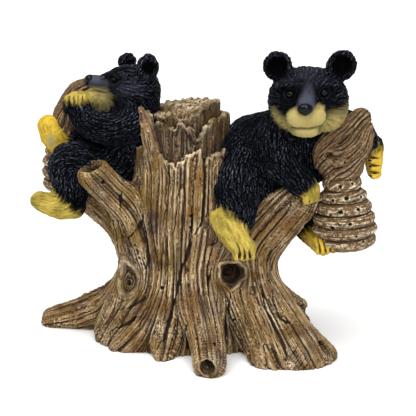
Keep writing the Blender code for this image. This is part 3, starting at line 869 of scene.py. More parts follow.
def trunk_loft():
    """The trunk with its three broken shells, lofted around the axis."""
    turns = np.linspace(-math.pi, math.pi, LOFT_TURNS, endpoint=False)
    outer, middle, inner = rim_heights(np.degrees(turns))
    gap = outer - RIM_DEPTH
    rows = []

    def row(height, share, inset=0.0):
        cx, cy, half_width, half_depth = trunk_section(height)
        rows.append(np.stack([
            cx + np.sin(turns) * (half_width * share - inset),
            cy - np.cos(turns) * (half_depth * share - inset),
            height + 0 * turns], axis=1))

    for climb in np.linspace(0, 1, LOFT_ROWS):
        row(FOOT + (outer - FOOT) * climb, 1)
    row(outer, 1, RIM_WALL)
    for rim, share, wall in ((middle, MIDDLE_SHARE, RIM_WALL), (inner, INNER_SHARE, 0)):
        row(gap, share, -RIM_FLARE)
        for climb in np.linspace(0.02, 1, SHELL_ROWS):
            row(gap + (rim - gap) * climb, share)
        row(rim, share, wall)
    for part in CORE_SHARES:
        row(core_height(inner, part), INNER_SHARE * part)
    return loft(rows, "trunk")


def trunk_comb(points):
    """Grain that runs up the trunk and winds round it a little."""
    cx, cy = trunk_section(points[:, 2])[:2]
    return np.stack([(cy - points[:, 1]) / TWIST_HEIGHT, (points[:, 0] - cx) / TWIST_HEIGHT,
                     np.ones(len(points))], axis=1)


def stump_clay():
    """The trunk, its roots, its three broken branches and its hollows."""
    clay = Clay(fillet=9)
    clay.loft(trunk_loft(), trunk_field, trunk_comb)
    for path in ROOTS:
        clay.limb(path, back=True)
    for path in (RIGHT_CROTCH, RIGHT_BRANCH, LEFT_SEAT, LEFT_STUB):
        clay.limb(path)
    for path in SPLIT_ROOTS:
        clay.limb(path, fillet=4, back=True)
    for path in SPLINTERS:
        clay.limb(path, fillet=2)
    clay.ball(*ROOT_WEB, comb=(-0.5, 0.6, 0.6))
    for path in STUMP_HOLLOWS:
        clay.hollow(path)
    return clay


def knot_relief(points, grain, knot, swirl):
    """A lip round a knot, with nested ridges and a small hole inside where it is a swirl.

    Gives the height, how much of the grain it covers, what lies inside it and its lip.
    """
    centre, half_width, half_height = knot
    a, b, depth, _, _ = knot_frame(points, centre, grain.outward(centre), half_width, half_height)
    ring = np.hypot(a, b)
    turn = np.arctan2(a, b)
    if swirl:
        ring = np.hypot(a, b + 0.45 * held(1 - ring)) * (1 + 0.05 * np.sin(3 * turn))
        width, reach, edge = 0.15, 1.6, 0.35
    else:
        ring = ring * (1 + 0.10 * np.sin(3 * turn + 1) + 0.06 * np.sin(5 * turn + 2)
                       + 0.04 * np.sin(9 * turn))
        width, reach, edge = 0.12, 1.3, 0.2
    near = (np.abs(depth) < 10) & (ring < reach + 0.1)
    covered = held((reach - ring) / edge)
    lip = np.exp(-((ring - 1) / width) ** 2)
    height = 1.6 * lip
    if swirl:
        arcs = np.abs(np.cos(math.pi * (ring - 0.05) / 0.24)) ** 0.7
        height += np.where(ring < 1, 1.2 * arcs - 1.6, 0.8 * covered * (arcs - 0.6))
        height -= 3.5 * held(1 - ring / 0.3)
    return [np.where(near, value, 0) for value in (height, covered, ring < 0.95, lip)]


def crown_paint(points, share, turn, crown, top):
    """Painted shade in the gaps between the broken shells, over a darker coat on their inner faces and
    deeper where a gap goes down, less on faces turned up; and the pale painted highlight along the shells'
    rims.
    """
    dark, pale = np.zeros((2, len(points)))
    for rim, inside in ((RIM_OUTER, 0.94), (RIM_MIDDLE, 0.79)):
        sunk = held((rim_height(turn, rim, 0) - points[:, 2] + 1) / 6)
        gap = (share < inside) * np.maximum(sunk, 0.62)
        dark = np.maximum(dark, crown * gap * (1 - 0.5 * top))
    for height, reach in zip(rim_heights(turn), (1, MIDDLE_SHARE, INNER_SHARE)):
        edge = held(1 - np.abs(height - points[:, 2]) / 1.1)
        pale = np.maximum(pale, crown * edge * (np.abs(share - reach + 0.04) < 0.09))
    return dark, pale


def carve_stump(obj, clay, wood):
    """Folds, ridges, lines of grain, knots, cracks and pinholes, with painted shade in the shell gaps,
    knots and hollows and painted highlight on the rims and lips.
    """
    grain = Grain(clay, STUMP_BOX, cell=2.5, knots=KNOTS)
    points, outs = vertices(obj), normals(obj)
    folds, ridges, lines = streaks(points, grain, WOOD_STRANDS)
    relief = (wood.fold_depth * (creased(folds, 0.5) - 0.6)
              + wood.ridge_depth * 0.5 * np.tanh(ridges)
              + wood.line_depth * np.clip(lines, -1.8, 1.4)) / STEP
    away, share, turn, _ = round_trunk(points)
    crown = held((points[:, 2] - CROWN_FOOT) / 4) * (share < 1.15)
    top = crown * held((outs[:, 2] - 0.3) / 0.3)
    dark, pale = crown_paint(points, share, turn, crown, top)
    for knot in KNOTS:
        raise_by, covered, inside, lip = knot_relief(points, grain, knot, knot is not HOLLOW)
        relief = relief * (1 - covered) + raise_by + 0.1 * covered * lines
        shadow = 0.6 if knot is HOLLOW else held(-0.5 * raise_by)
        dark = np.maximum(dark, inside * shadow)
        pale = np.maximum(pale, lip)
    hole = np.abs(np.min([form.field(points) for form in clay.hollows], axis=0))
    relief *= 1 - 0.7 * held(1.8 - hole)
    # Painted shade inside the hollows
    dark = np.maximum(dark, 0.45 * held(1 - hole / 0.6))
    facing = np.sum(unit(away) * outs[:, :2], axis=1)
    relief *= 1 - crown * np.clip(0.85 - 0.6 * facing, 0.15, 0.85)
    ripples = np.sin(CROWN_RIPPLES * share + 1.5 * ridges)
    relief += 0.3 * top * ripples
    cracks = scored(points, CRACKS, 0.3 * ridges + 0.15 * lines) + dotted(points, PINHOLES)
    raised(obj, relief - cracks)
    grooves = (0.8 * (1 - creased(folds, 0.12)) + 0.9 * held(-1.1 - lines)
               + 0.6 * held(-1.2 - ridges))
    # Crest takes the pale rims and knot lips as painted highlight; crease takes the grooves, the cracks and
    # the painted shade
    coat(obj, crest=standing_out(obj, rounds=6) + 0.75 * pale + 0.5 * top * held(ripples),
         crease=held((1 - top) * grooves + 1.2 * cracks + dark),
         flow=np.stack([3 * folds, 0.7 * ridges, 0.12 * lines], axis=1))


class FIGURINE_OT_stump(bpy.types.Operator):
    """Model, carve and paint the stump with its roots and branches"""
    bl_idname = "figurine.stump"
    bl_label = "Stump"

    def execute(self, context):
        wood = context.scene.figurine_wood
        clay = stump_clay()
        trunk = clay.fused("stump_crown", wood.skin / STEP)
        carve_stump(trunk, clay, wood)
        sawn(trunk, 0, keep_above=True)
        thinned(trunk, STUMP_TRIANGLES)
        paint = wood_paint(wood)
        for name, height in zip(("stump_roots", "stump_waist", "stump_trunk"), STUMP_CUTS):
            lower = new_object(name, trunk.data.copy())
            sawn(lower, height, keep_above=False)
            sawn(trunk, height, keep_above=True)
            finished(lower, paint)
        finished(trunk, paint)
        return {"FINISHED"}


# Cubs

def toes(clay, first, last, back, count, radius):
    """A row of toes from the first tip to the last, each running back into the paw."""
    for share in np.linspace(0, 1, count):
        tip = np.array(first) + share * np.subtract(last, first)
        clay.limb(((*(tip + back), radius), (*(tip + np.multiply(back, 0.4)), radius * 1.1),
                   (*tip, radius * 0.8)), fillet=0.8)


def right_cub_clay():
    """The cub lying over the right branch with its face to the front."""
    body = Clay(fillet=5)
    # Back, chest, belly and thigh
    body.ball((35, -8, 108), (17, 14, 18), comb=(-0.4, -0.1, -1))
    body.ball((22, -3, 107), (14, 13, 16), (0, 30, 0), comb=(-0.8, 0, -0.7))
    body.ball((14, -4, 95), (12.5, 13, 17), comb=(-0.2, -0.1, -1))
    body.ball((34, -4, 92), (16, 12, 13))
    body.ball((48, -7, 106), (12, 11, 14), comb=(0.2, 0, -1))
    body.ball((54, -10, 97.5), (8, 7, 9.5), comb=(0.1, 0, -1))
    body.ball((28, -9, 83), (9, 8, 10))
    body.ball((14, -14, 86), (11.5, 10, 15), comb=(-0.1, -0.3, -1))
    # Near leg and foot, near arm, far arm and hand, far leg
    body.limb(((14, -16, 84, 9.5), (16, -23, 76, 8.5), (14, -27, 70, 7)))
    body.limb(((5, -28, 74.5, 4.5), (11, -33, 68, 6), (18, -38, 61.5, 6)))
    body.limb(((34, -15, 113, 10), (38, -20, 101, 8.5), (45, -22, 92.5, 7), (51, -21, 87.5, 5.5)))
    body.limb(((58, -6, 118, 9), (74, -2, 115, 8), (83, -6, 107, 6)))
    body.ball((84.5, -11, 100.5), (4.4, 6, 10))
    body.limb(((34, 6, 86, 11), (44, 6, 73, 9), (51, 1, 62, 6.5), (56, -12, 59, 5.5),
               (58.5, -23, 58.5, 5)))
    # Head: skull, cheeks, snout, lips, jaw, bridge and brows
    nose = away_from((47, -46, 131))
    body.ball((49.5, -19, 134), (19.5, 15, 15.5), comb=nose)
    body.ball((41, -24, 128.6), (9.5, 9, 10.4), fillet=6, comb=nose)
    body.ball((58.5, -24, 128.6), (9.6, 9, 10.6), fillet=6, comb=nose)
    body.ball((47, -32, 128), (10.5, 9.5, 8.5), comb=nose)
    body.ball((42.8, -39.5, 127.8), (5.6, 5.2, 4.8), fillet=2, comb=nose)
    body.ball((51, -39.5, 128.4), (5.6, 5.2, 4.9), fillet=2, comb=nose)
    body.ball((47.4, -34.5, 121.6), (8.4, 7.4, 4.4), fillet=2, comb=nose)
    body.limb(((49, -29, 140.5, 5), (46.6, -41, 133.8, 4.2)), fillet=3, back=True)
    body.limb(((35, -29, 142.2, 2), (39.5, -32, 143, 2.2), (43.5, -33, 141.4, 1.8)), fillet=3)
    body.limb(((52.5, -33.5, 142, 1.8), (56.5, -32.5, 143.8, 2.2), (61, -29, 142.6, 2)), fillet=3)
    # Ears
    body.ball((34.5, -16, 149), (7.2, 3.9, 7.4), (0, -22, 0), fillet=2, comb=(-0.4, 0, 1))
    body.ball((66, -16, 149.5), (7.2, 3.9, 7.8), (0, 28, 0), fillet=2, comb=(0.4, 0, 1))
    body.hollow(((33.3, -26, 149.8, 6.6), (34.3, -20.4, 149.3, 5.5), (34.6, -18, 149.2, 4)))
    body.hollow(((66.7, -26, 150.3, 6.6), (65.9, -20.5, 149.8, 5.5), (65.7, -18.2, 149.7, 4)))
    # Near foot, far foot, far hand, near hand
    toes(body, (14.2, -43.6, 58.2), (22, -42.9, 58.6), (-1, 7, 5), count=4, radius=1.6)
    toes(body, (55.4, -28, 57), (62.5, -30, 58), (-1, 7, 3), count=4, radius=1.8)
    toes(body, (82.5, -17, 105), (83.5, -17, 93.8), (3, 4, 0), count=4, radius=2.0)
    toes(body, (49, -27.5, 82.6), (54.5, -26, 83.5), (-0.5, 4, 3.5), count=4, radius=1.6)
    return body


RIGHT_MARKS = Marks(
    box=((-6, -52, 44), (96, 24, 164)),
    paws=(((4, -28, 75, 5.6), (11, -33, 68, 7.6), (18, -38, 61.5, 8), (18, -43, 58, 6)),
          ((56, -21, 90, 3.4), (53, -24, 84, 6), (51, -29, 82, 4)),
          ((86, -11, 102, 5.5), (84, -14, 97, 9)),
          ((55, -8, 58, 6), (58, -18, 58, 7.5), (59, -28, 57, 6))),
    warm=(((87, -10, 104, 8), (84, -14, 97, 12)), ((55, -8, 58, 8), (59, -30, 57, 9))),
    muzzle=(((42.5, -42, 127.5, 5.5), (51.5, -42, 128, 5.5), (54.2, -38.5, 131.6, 2.6)),
            ((47.3, -39, 121, 6.4), (47, -38, 118, 5))),
    cheeks=(((32.6, -28, 127.8, 2.4), (36, -32, 123.6, 4.4), (42, -36, 120, 6)),
            ((54, -33, 121, 6.5), (60, -30, 123.4, 7), (66, -25, 127.4, 4.4))),
    bridge=(((48.8, -33, 142.5, 0.8), (47.8, -38, 138, 2.8), (46.6, -44, 135, 4.8)),),
    dust=(((48.5, -30, 144, 3), (48, -26, 150, 8)),),
    face=(47.5, -36, 132, 26),
    sockets=((40.1, -31.8, 137.6), (55.6, -32.4, 138.7)),
    cuts=((0.8, 1.5,
           ((38.8, -38, 124.6), (40, -39, 123.4), (42.6, -41, 122.6), (46.4, -41.8, 122.8),
            (49.8, -41.5, 122.9), (53.2, -40.2, 124), (54.6, -39, 125.4))),
          (0.6, 0.8,
           ((46, -48, 130.5), (46.4, -46, 127), (46.6, -43, 123.5))),
          (0.9, 1.7,
           ((13.6, -38, 68.5), (15.2, -42, 62.5), (15.5, -43.5, 57)),
           ((16.4, -38.5, 67.5), (17.9, -42.3, 62), (18.1, -43.5, 56.8)),
           ((19.2, -38.5, 66.6), (20.5, -42, 61.5), (20.7, -43.2, 56.8))),
          (0.7, 1.1,
           ((79, -16.5, 103.5), (83, -17.5, 103.2), (87, -15, 102.5)),
           ((79, -17, 99.6), (83, -18.2, 99.3), (87, -15.5, 98.6)),
           ((79, -17, 95.8), (83, -18, 95.6), (87, -15.5, 95)),
           ((55, -22, 64), (56.2, -28, 59), (56.5, -29, 55)),
           ((57.6, -23, 64.5), (58.8, -29, 59.5), (59, -30, 55)),
           ((60, -24, 64.5), (61.2, -30, 60), (61.4, -31, 55))),
          (0.6, 0.9,
           ((51, -28, 86), (50.6, -29, 82.5), (50, -29, 80)),
           ((53.4, -27.5, 86), (53.2, -28.5, 82.5), (52.8, -28.5, 80)))),
    ears=(((34, -22.5, 149.6, 5.8), (34.4, -18, 149.4, 5.4)),
          ((66.4, -22.5, 150.1, 5.9), (65.9, -18, 149.8, 5.5))))

LEFT_MARKS = Marks(
    box=((-100, -28, 62), (-14, 30, 162)),
    paws=(((-71, -8, 133.2, 4.4), (-61.5, -8, 133.6, 4.4)),
          ((-69, -11, 72, 4), (-78, -13, 75, 8), (-88, -13, 80, 8)),
          ((-76, 6, 102, 5), (-80, 5, 109, 8), (-83, 5, 117, 9))),
    warm=(((-76, 6, 102, 8), (-83, 5, 117, 12)),),
    muzzle=(((-81, -1.5, 107, 2.4), (-81, -1.5, 110, 2.2)),),
    cheeks=(((-60, -3, 133, 3.4), (-54, -4.5, 131, 4.6)),),
    bridge=(((-46, -2, 140, 3.2), (-59, -1, 140.4, 3.4)),),
    dust=(((-46, -5, 136, 3), (-38, -7, 138, 4)),),
    face=(-54, -2, 137, 13),
    sockets=((-47.4, -4.6, 141.2),),
    cuts=((0.7, 1.2,
           ((-63, -4, 135), (-57, -5.5, 135.4), (-50, -6.5, 134)),
           ((-93, -16, 82), (-90, -17, 77), (-85, -16, 74.5)),
           ((-93, -13.5, 82), (-91, -14, 77), (-86, -13.5, 74)),
           ((-93, -11, 82), (-91, -11, 77), (-86, -11, 74))),
          (0.45, 0.8,
           ((-69.6, -11, 137), (-69.7, -10.5, 132), (-69.8, -10, 127)),
           ((-67.4, -11, 137), (-67.5, -10.8, 132), (-67.6, -10.5, 127)),
           ((-65.2, -11, 137), (-65.3, -10.8, 132), (-65.4, -10.5, 127)),
           ((-63.1, -11, 137), (-63.2, -10.5, 132), (-63.3, -10, 127)))),
    ears=(((-29, -7, 146.8, 4), (-30, -4, 146.5, 3.4)),
          ((-41, 9.5, 147, 2.6), (-41, 11, 147, 2.4))))


def left_cub_clay():
    """The cub leaning back on the left branches with its nose up."""
    body = Clay(fillet=5)
    # Back, chest, shoulder and hips
    body.ball((-42, 6, 108), (17, 13, 20), comb=(-0.2, 0, -1))
    body.ball((-36, 6, 120), (11.5, 12.5, 14), comb=(0.2, 0, -1))
    body.ball((-50, 2, 124), (9, 7, 8), comb=(-0.3, 0, -1))
    body.ball((-56, 4, 96), (15, 12, 13), comb=(-0.3, 0, -1))
    # Head: skull, brow, snout and jaw
    nose = away_from((-62, 0, 139))
    body.ball((-38, 5, 134), (13.5, 12.5, 13), comb=nose)
    body.ball((-45.5, 3, 139), (6.5, 8, 6), comb=nose)
    body.limb(((-46, 3, 135, 6.5), (-54, 1, 137.6, 4.4), (-60, 0, 139.6, 3)), fillet=1.5, back=True)
    body.ball((-54.5, -0.5, 131.8), (7.6, 6.2, 5.8), fillet=2, comb=nose)
    # Arm and hand, near leg and foot, far leg and raised foot
    body.limb(((-39, -4, 117, 9), (-50, -8, 116, 8), (-60, -8, 119, 7), (-65, -7, 123.5, 5.5)))
    body.ball((-66, -5, 129.5), (6.5, 5.5, 5.5), comb=(0, 0, 1))
    body.limb(((-52, 0, 88, 11.5), (-70, -8, 98, 11), (-70, -10, 84, 8.5)))
    body.limb(((-69, -10, 74.5, 5.2), (-77, -12, 76, 6), (-86, -13, 79.5, 5)))
    body.limb(((-56, 12, 98, 9), (-70, 10, 108, 7.5), (-77, 8, 104, 5.5)))
    body.limb(((-76, 6, 102, 4.5), (-80, 5, 109, 6.5), (-82.5, 5, 115, 6)), fillet=2)
    # Ears, and the lid over the eye
    body.ball((-30.5, -3, 146.5), (5.6, 3.4, 7), (0, 8, 20), fillet=2, comb=(0.3, 0, 1))
    body.ball((-41.5, 13, 147), (4.8, 3.2, 5), (0, 0, 20), fillet=2, comb=(0.3, 0, 1))
    body.limb(((-53, -4, 142.2, 1.4), (-48, -5, 143.8, 1.9), (-43, -6, 143, 1.6)), fillet=3)
    body.hollow(((-29.5, -12, 147, 4.8), (-30, -6, 146.8, 3.9), (-30.3, -3.6, 146.6, 2.6)))
    # Hand, near foot, raised foot
    toes(body, (-71, -9.5, 132.5), (-62.5, -9.5, 133), (0, 1, -7), count=5, radius=1.6)
    toes(body, (-89, -16.5, 80.5), (-89, -9, 80.5), (6, 0, -1.5), count=4, radius=1.7)
    toes(body, (-85.4, 1.5, 117), (-79.6, 4.5, 118.6), (0.6, 1, -4), count=4, radius=2)
    return body


def brushed(points, paths, ragged, softness):
    """How much paint lies on each point near some strokes of a brush, with a ragged edge."""
    nearest = np.min([limb_read(points, smooth_path(path))[0] for path in paths], axis=0)
    return held(0.5 - (nearest + ragged) / softness)


def socket_relief(points, eye):
    """A lid round an eye: its height, how much of the fur it replaces and how much painted shade darkens
    the socket.
    """
    gap = lengths(points - eye)
    lid = 0.5 * np.exp(-((gap - 3.1) / 0.7) ** 2)
    dip = 1.2 * held(1 - (gap / 3) ** 2)
    return lid - dip, held((5.5 - gap) / 1.5), held((4.6 - gap) / 1.6)


def carve_cub(obj, clay, fur, marks):
    """Locks and hairs of fur, shorter on the paws and the muzzle, with eye sockets and toes, and painted
    shade in the sockets and cuts.
    """
    points = vertices(obj)
    locks, tufts, hairs = streaks(points, Grain(clay, marks.box), FUR_STRANDS, stride=1.0)
    ragged = 0.7 * tufts + 0.5 * hairs
    short = np.clip(1.1 - lengths(points - marks.face[:3]) / marks.face[3], 0, 0.65)
    yellow = brushed(points, marks.paws, 0.8 * ragged, 2.8)
    hairy = brushed(points, marks.cheeks, 0.7 * ragged, 4.5) * np.clip(0.72 + 0.12 * tufts, 0.3, 1)
    pale = np.maximum(brushed(points, marks.muzzle, 0.4 * ragged, 2.6), hairy)
    # The bridge is grey paint; the faint grey over the brow and crown is brushed grey that also stands in
    # for a highlight on the top of the head
    grey = np.maximum(brushed(points, marks.bridge, 0.3 * ragged, 3.2),
                      0.26 * brushed(points, marks.dust, 3 * ragged, 7.0))
    smooth = held(pale + grey + 0.8 * yellow)
    depth = fur.lock_depth / STEP * (1 - 0.85 * smooth) * (1 - short)
    heights = depth * (creased(locks, 0.7) + 0.6 * creased(tufts, 0.6) - 1)
    heights += fur.hair_depth / STEP * (1 - 0.6 * smooth) * np.clip(hairs, -1.5, 1.5)
    deep = np.zeros(len(points))
    for eye in marks.sockets:
        socket, covered, shadow = socket_relief(points, eye)
        heights = heights * (1 - 0.8 * covered) + covered * socket
        deep = np.maximum(deep, shadow)
    cuts = scored(points, marks.cuts, 0 * hairs)
    raised(obj, heights - cuts)
    inner = brushed(points, marks.ears, 0.3 * ragged, 1.5)
    # The deep layer is painted shade in the eye sockets and the cuts, less on the pale muzzle, with the ear
    # hollows also painted near black
    coat(obj, crest=standing_out(obj, rounds=5), yellow=yellow,
         warm=brushed(points, marks.warm, 0, 2), pale=pale, grey=grey,
         deep=held(np.maximum(0.7 * deep, (0.7 - 0.5 * pale) * cuts) + inner),
         flow=np.stack([2.4 * locks, 0.8 * tufts, 0.2 * hairs], axis=1))


def make_cub(context, name, clay, marks):
    """Fuse, carve and paint one cub."""
    fur = context.scene.figurine_fur
    cub = clay.fused(name, fur.skin / STEP)
    carve_cub(cub, clay, fur, marks)
    thinned(cub, CUB_TRIANGLES)
    finished(cub, fur_paint(fur))
    return {"FINISHED"}


class FIGURINE_OT_right_cub(bpy.types.Operator):
    """Model, carve and paint the cub that looks at the viewer"""
    bl_idname = "figurine.right_cub"
    bl_label = "Right Cub"

    def execute(self, context):
        return make_cub(context, "right_cub", right_cub_clay(), RIGHT_MARKS)


class FIGURINE_OT_left_cub(bpy.types.Operator):
    """Model, carve and paint the cub that leans back with its nose up"""
    bl_idname = "figurine.left_cub"
    bl_label = "Left Cub"

    def execute(self, context):
        return make_cub(context, "left_cub", left_cub_clay(), LEFT_MARKS)


# Hives

# Bees' holes in the right hive: place and radius
RIGHT_HOLES = (
    (59.4, -21.2, 91.6, 0.9), (66, -25.8, 90.1, 1.0), (72.4, -24.6, 91.5, 0.9), (57.4, -21.9, 82, 0.9),
    (62.2, -27, 83.3, 1.0), (69, -28.3, 84.9, 1.2), (76.9, -25.4, 85, 1.0), (61, -28.5, 75.9, 1.0),
    (65.9, -30.4, 78.2, 1.4), (75.2, -29, 79.5, 1.2), (55.2, -20.8, 67.7, 0.9), (61.9, -30.1, 69.5, 1.5),
    (70.8, -32.6, 72.5, 1.2), (78.2, -30.3, 63.2, 1.0), (58.2, -25.9, 75.3, 0.8), (84, -22, 77, 1.0),
    (85.6, -14, 70, 1.1), (80, -8, 86, 0.9), (66, -33, 62, 1.0), (74, -32.5, 66, 0.8),
    (70, -1.2, 72, 1.3), (62, -3, 80, 1.1), (76, -2.5, 64, 1.1), (54.4, -14, 66, 1.2), (66, -2.5, 65, 1.0),
)

COIL_GAP = 2.3                  # how deep the groove between two coils is
COIL_ROUNDNESS = 2.1            # the higher, the flatter a coil and the narrower its groove
COIL_SLOPE = 0.8                # evens out the distance where a coil's skin slopes
COIL_ROWS, COIL_TURNS = 12, 72  # points up a coil's mesh and round it
LAST_COIL = 0.9999              # the highest part of the hive, still within its last coil


def skep(clay, top, bottom, radii):
    """A beehive of stacked coils between two points, top first."""
    top, bottom = np.array(top, float), np.array(bottom, float)
    length = np.linalg.norm(bottom - top)
    axis = (bottom - top) / length
    across = unit(np.cross(axis, (0, 1, 0)))
    other = np.cross(axis, across)
    coils = len(radii)

    def radius(climb):
        """Radius along the hive, drawn in sharply between two coils."""
        part = np.clip(climb, 0, LAST_COIL) * coils
        swell = 1 - np.abs(2 * (part % 1) - 1) ** COIL_ROUNDNESS
        return np.interp(part - 0.5, np.arange(coils), radii) - COIL_GAP * (1 - swell)

    def field(points):
        local = points - top
        along = local @ axis
        out = lengths(local - along[:, None] * axis)
        coils_away = COIL_SLOPE * (out - radius(along / length))
        return np.maximum(coils_away, np.abs(along - length / 2) - length / 2)

    rings = []
    for climb in np.linspace(0, 1, COIL_ROWS * coils + 1):
        turns = np.linspace(0, math.tau, COIL_TURNS, endpoint=False)[:, None]
        rings.append(top + axis * climb * length
                     + radius(climb) * (np.cos(turns) * across + np.sin(turns) * other))
    clay.meshes.append(loft(rings, "skep"))
    reach = max(radii) + 1
    clay.add(field, lambda p: unit(np.cross(p - top, axis)), np.minimum(top, bottom) - reach,
             np.maximum(top, bottom) + reach, 1.0)


def right_hive_clay():
    """The hive hugged by the right cub, hanging from a gnarled stub."""
    clay = Clay(fillet=3)
    skep(clay, (67.5, -16, 99), (70.6, -17, 57.2), (8.4, 9.3, 12, 14.2, 15.8, 16.6, 15.6))
    clay.limb(((67, -16, 92, 8.5), (70, -15, 101, 8.5), (74.5, -14, 108, 7.2), (77, -13, 116, 5),
               (77.6, -12.5, 123, 3)))
    clay.limb(((58.5, -18, 101, 4.5), (57.5, -18.5, 106.5, 4), (61, -17, 112.5, 4), (68.5, -15, 118.5, 3.6),
               (76, -12.5, 124, 2.6)), fillet=4)
    clay.ball((61.5, -18, 104), (7, 6, 7), fillet=2, comb=(1, 0, 0.2))
    clay.limb(((78.5, -13, 122, 2.6), (79.8, -12.5, 115, 2.6), (77.8, -13.5, 106, 3)))
    clay.hollow(((60.4, -30, 106, 3.2), (60.4, -23.5, 105.6, 2.6), (61, -20, 105.2, 1.4)))
    clay.ball((64.8, -24.2, 102.2), (2.4, 2, 1.7), fillet=0.8)
    return clay


def left_hive_clay():
    """The hive behind the left cub's legs, with its stub at the cub's mouth."""
    clay = Clay(fillet=3)
    skep(clay, (-73.5, 13, 115), (-77.3, 15, 79), (8, 9.5, 11, 12, 12, 11))
    clay.limb(((-74, 12, 112, 8), (-71, 9, 124, 7), (-67, 6, 132, 5.5), (-60, 5, 136, 4)))
    clay.limb(((-76, 10, 112, 6), (-75, 7, 119, 5)))
    return clay


def carve_hive(obj, clay, hive, box, holes, top):
    """Straws round the coils, ridges up the stub above their top, and the bees' holes, with painted shade
    in the holes.
    """
    points = vertices(obj)
    straws, fibres = streaks(points, Grain(clay, box), STRAW_STRANDS)
    stub = held((points[:, 2] - top) / 2)
    depth = hive.straw_depth / STEP * (0.5 + stub)
    pits = dotted(points, holes)
    raised(obj, depth * (creased(straws, 0.8) + 0.4 * np.clip(fibres, -1.5, 1.5)) - pits)
    # The deep layer is painted shade in the bees' holes
    coat(obj, crest=standing_out(obj, rounds=8), deep=held(1.4 * pits), coil=1 - stub,
         flow=np.stack([2.4 * straws, 0.3 * fibres, 0 * straws], axis=1))


class FIGURINE_OT_hives(bpy.types.Operator):
    """Model, carve and paint both beehives"""
    bl_idname = "figurine.hives"
    bl_label = "Hives"

    def execute(self, context):
        hive = context.scene.figurine_hive
        paint = straw_paint(hive)
        for name, clay, box, holes, top in (
                ("right_hive", right_hive_clay(), ((46, -38, 50), (96, 4, 132)), RIGHT_HOLES, 94),
                ("left_hive", left_hive_clay(), ((-94, -6, 70), (-50, 32, 146)), (), 113)):
            obj = clay.fused(name, hive.skin / STEP)
            carve_hive(obj, clay, hive, box, holes, top)
            thinned(obj, HIVE_TRIANGLES)
            finished(obj, paint)
        return {"FINISHED"}


# Eyes, noses and claws

# Place and radius of each eye, places and radii of the balls in the noses, roots and tips of claws
EYES = (((40.1, -31, 137.6), 2.4), ((55.6, -31.6, 138.7), 2.4), ((-47.6, -4.4, 141.4), 1.8))
NOSES = (
    ((46, -45.4, 133.4), (3.5, 2.4, 2.2)), ((46, -45.5, 131.8), (2, 1.9, 2.1)),
    ((43.9, -45.3, 132.6), (1.5, 1.8, 1.5)), ((48.1, -45.3, 132.6), (1.5, 1.8, 1.5)),
    ((-60.2, -0.4, 140.4), (2.3, 2.8, 2.3)), ((-61, -0.5, 139), (1.6, 2.1, 1.9)),
)
CLAWS = (
    ((14.1, -43.4, 59.6), (14, -44, 57.4)), ((16.7, -43.4, 59.2), (16.7, -44, 57)),
    ((19.4, -43, 59.2), (19.4, -43.7, 57)), ((22, -42.8, 59.6), (22, -43.4, 57.6)),
    ((54.8, -27, 59), (54.9, -27.8, 57)), ((57.4, -28, 59.4), (57.5, -28.9, 57.2)),
    ((60, -29, 60), (60.1, -29.8, 57.8)), ((62.2, -30, 60.4), (62.3, -30.6, 58.4)),
    ((81, -18, 101.9), (84, -18, 101.3)), ((81.2, -18.6, 99), (84.2, -18.3, 98.4)),
    ((81.5, -18.6, 96.6), (84.4, -18.3, 96)), ((81.8, -18.2, 94), (84.6, -18, 93.4)),
)
CLAW_ROOT, CLAW_TIP = 0.55, 0.35         # radii
BEAD_SKIN = 0.25                         # finest step of these meshes


class FIGURINE_OT_beads(bpy.types.Operator):
    """Set the glossy eyes, noses and claws"""
    bl_idname = "figurine.beads"
    bl_label = "Eyes, Noses and Claws"

    def execute(self, context):
        paint = gloss_paint()
        eyes, noses, claws = Clay(fillet=0.5), Clay(fillet=1.2), Clay(fillet=0.3)
        for centre, radius in EYES:
            eyes.ball(centre, [radius] * 3)
        for centre, radii in NOSES:
            noses.ball(centre, radii)
        for root, tip in CLAWS:
            claws.limb(((*root, CLAW_ROOT), (*tip, CLAW_TIP)))
        for name, clay in (("eyes", eyes), ("noses", noses), ("claws", claws)):
            finished(clay.fused(name, BEAD_SKIN), paint)
        return {"FINISHED"}


# Paint

WASH_LEVEL = 0.02               # height over its surroundings below which a wash starts


def node(tree, kind, sockets=None, **values):
    """Add a node, set its values and wire or set its sockets."""
    made = tree.nodes.new(kind)
    for name, value in values.items():
        setattr(made, name, value)
    for name, value in (sockets or {}).items():
        if isinstance(value, bpy.types.NodeSocket):
            tree.links.new(value, made.inputs[name])
        else:
            made.inputs[name].default_value = value
    return made


def opaque(colour):
    """Three numbers as a whole colour; a wired colour stays as it is."""
    return colour if isinstance(colour, bpy.types.NodeSocket) else (*colour, 1)


def mixed(tree, share, first, second):
    """Mix two colours."""
    return node(tree, "ShaderNodeMix", {0: share, 6: opaque(first), 7: opaque(second)},
                data_type="RGBA").outputs[2]


def reckoned(tree, operation, *values, clamp=False):
    """Work out a sum, a product or the like."""
    return node(tree, "ShaderNodeMath", dict(enumerate(values)), operation=operation,
                use_clamp=clamp).outputs[0]


def stretched(tree, value, low, high):
    """A value between two limits, spread from 0 to 1."""
    return node(tree, "ShaderNodeMapRange", {
        "Value": value, "From Min": low, "From Max": high}).outputs[0]


def attribute(tree, name, output="Fac"):
    return node(tree, "ShaderNodeAttribute", attribute_name=name).outputs[output]


def noise(tree, place, scale, detail):
    return node(tree, "ShaderNodeTexNoise", {
        "Vector": place, "Scale": scale, "Detail": detail}).outputs["Fac"]


def cloud(tree, scale, detail=3.0):
    """Soft noise on the piece's own coordinates; scale is in lumps a metre."""
    return noise(tree, node(tree, "ShaderNodeTexCoord").outputs["Object"], scale, detail)


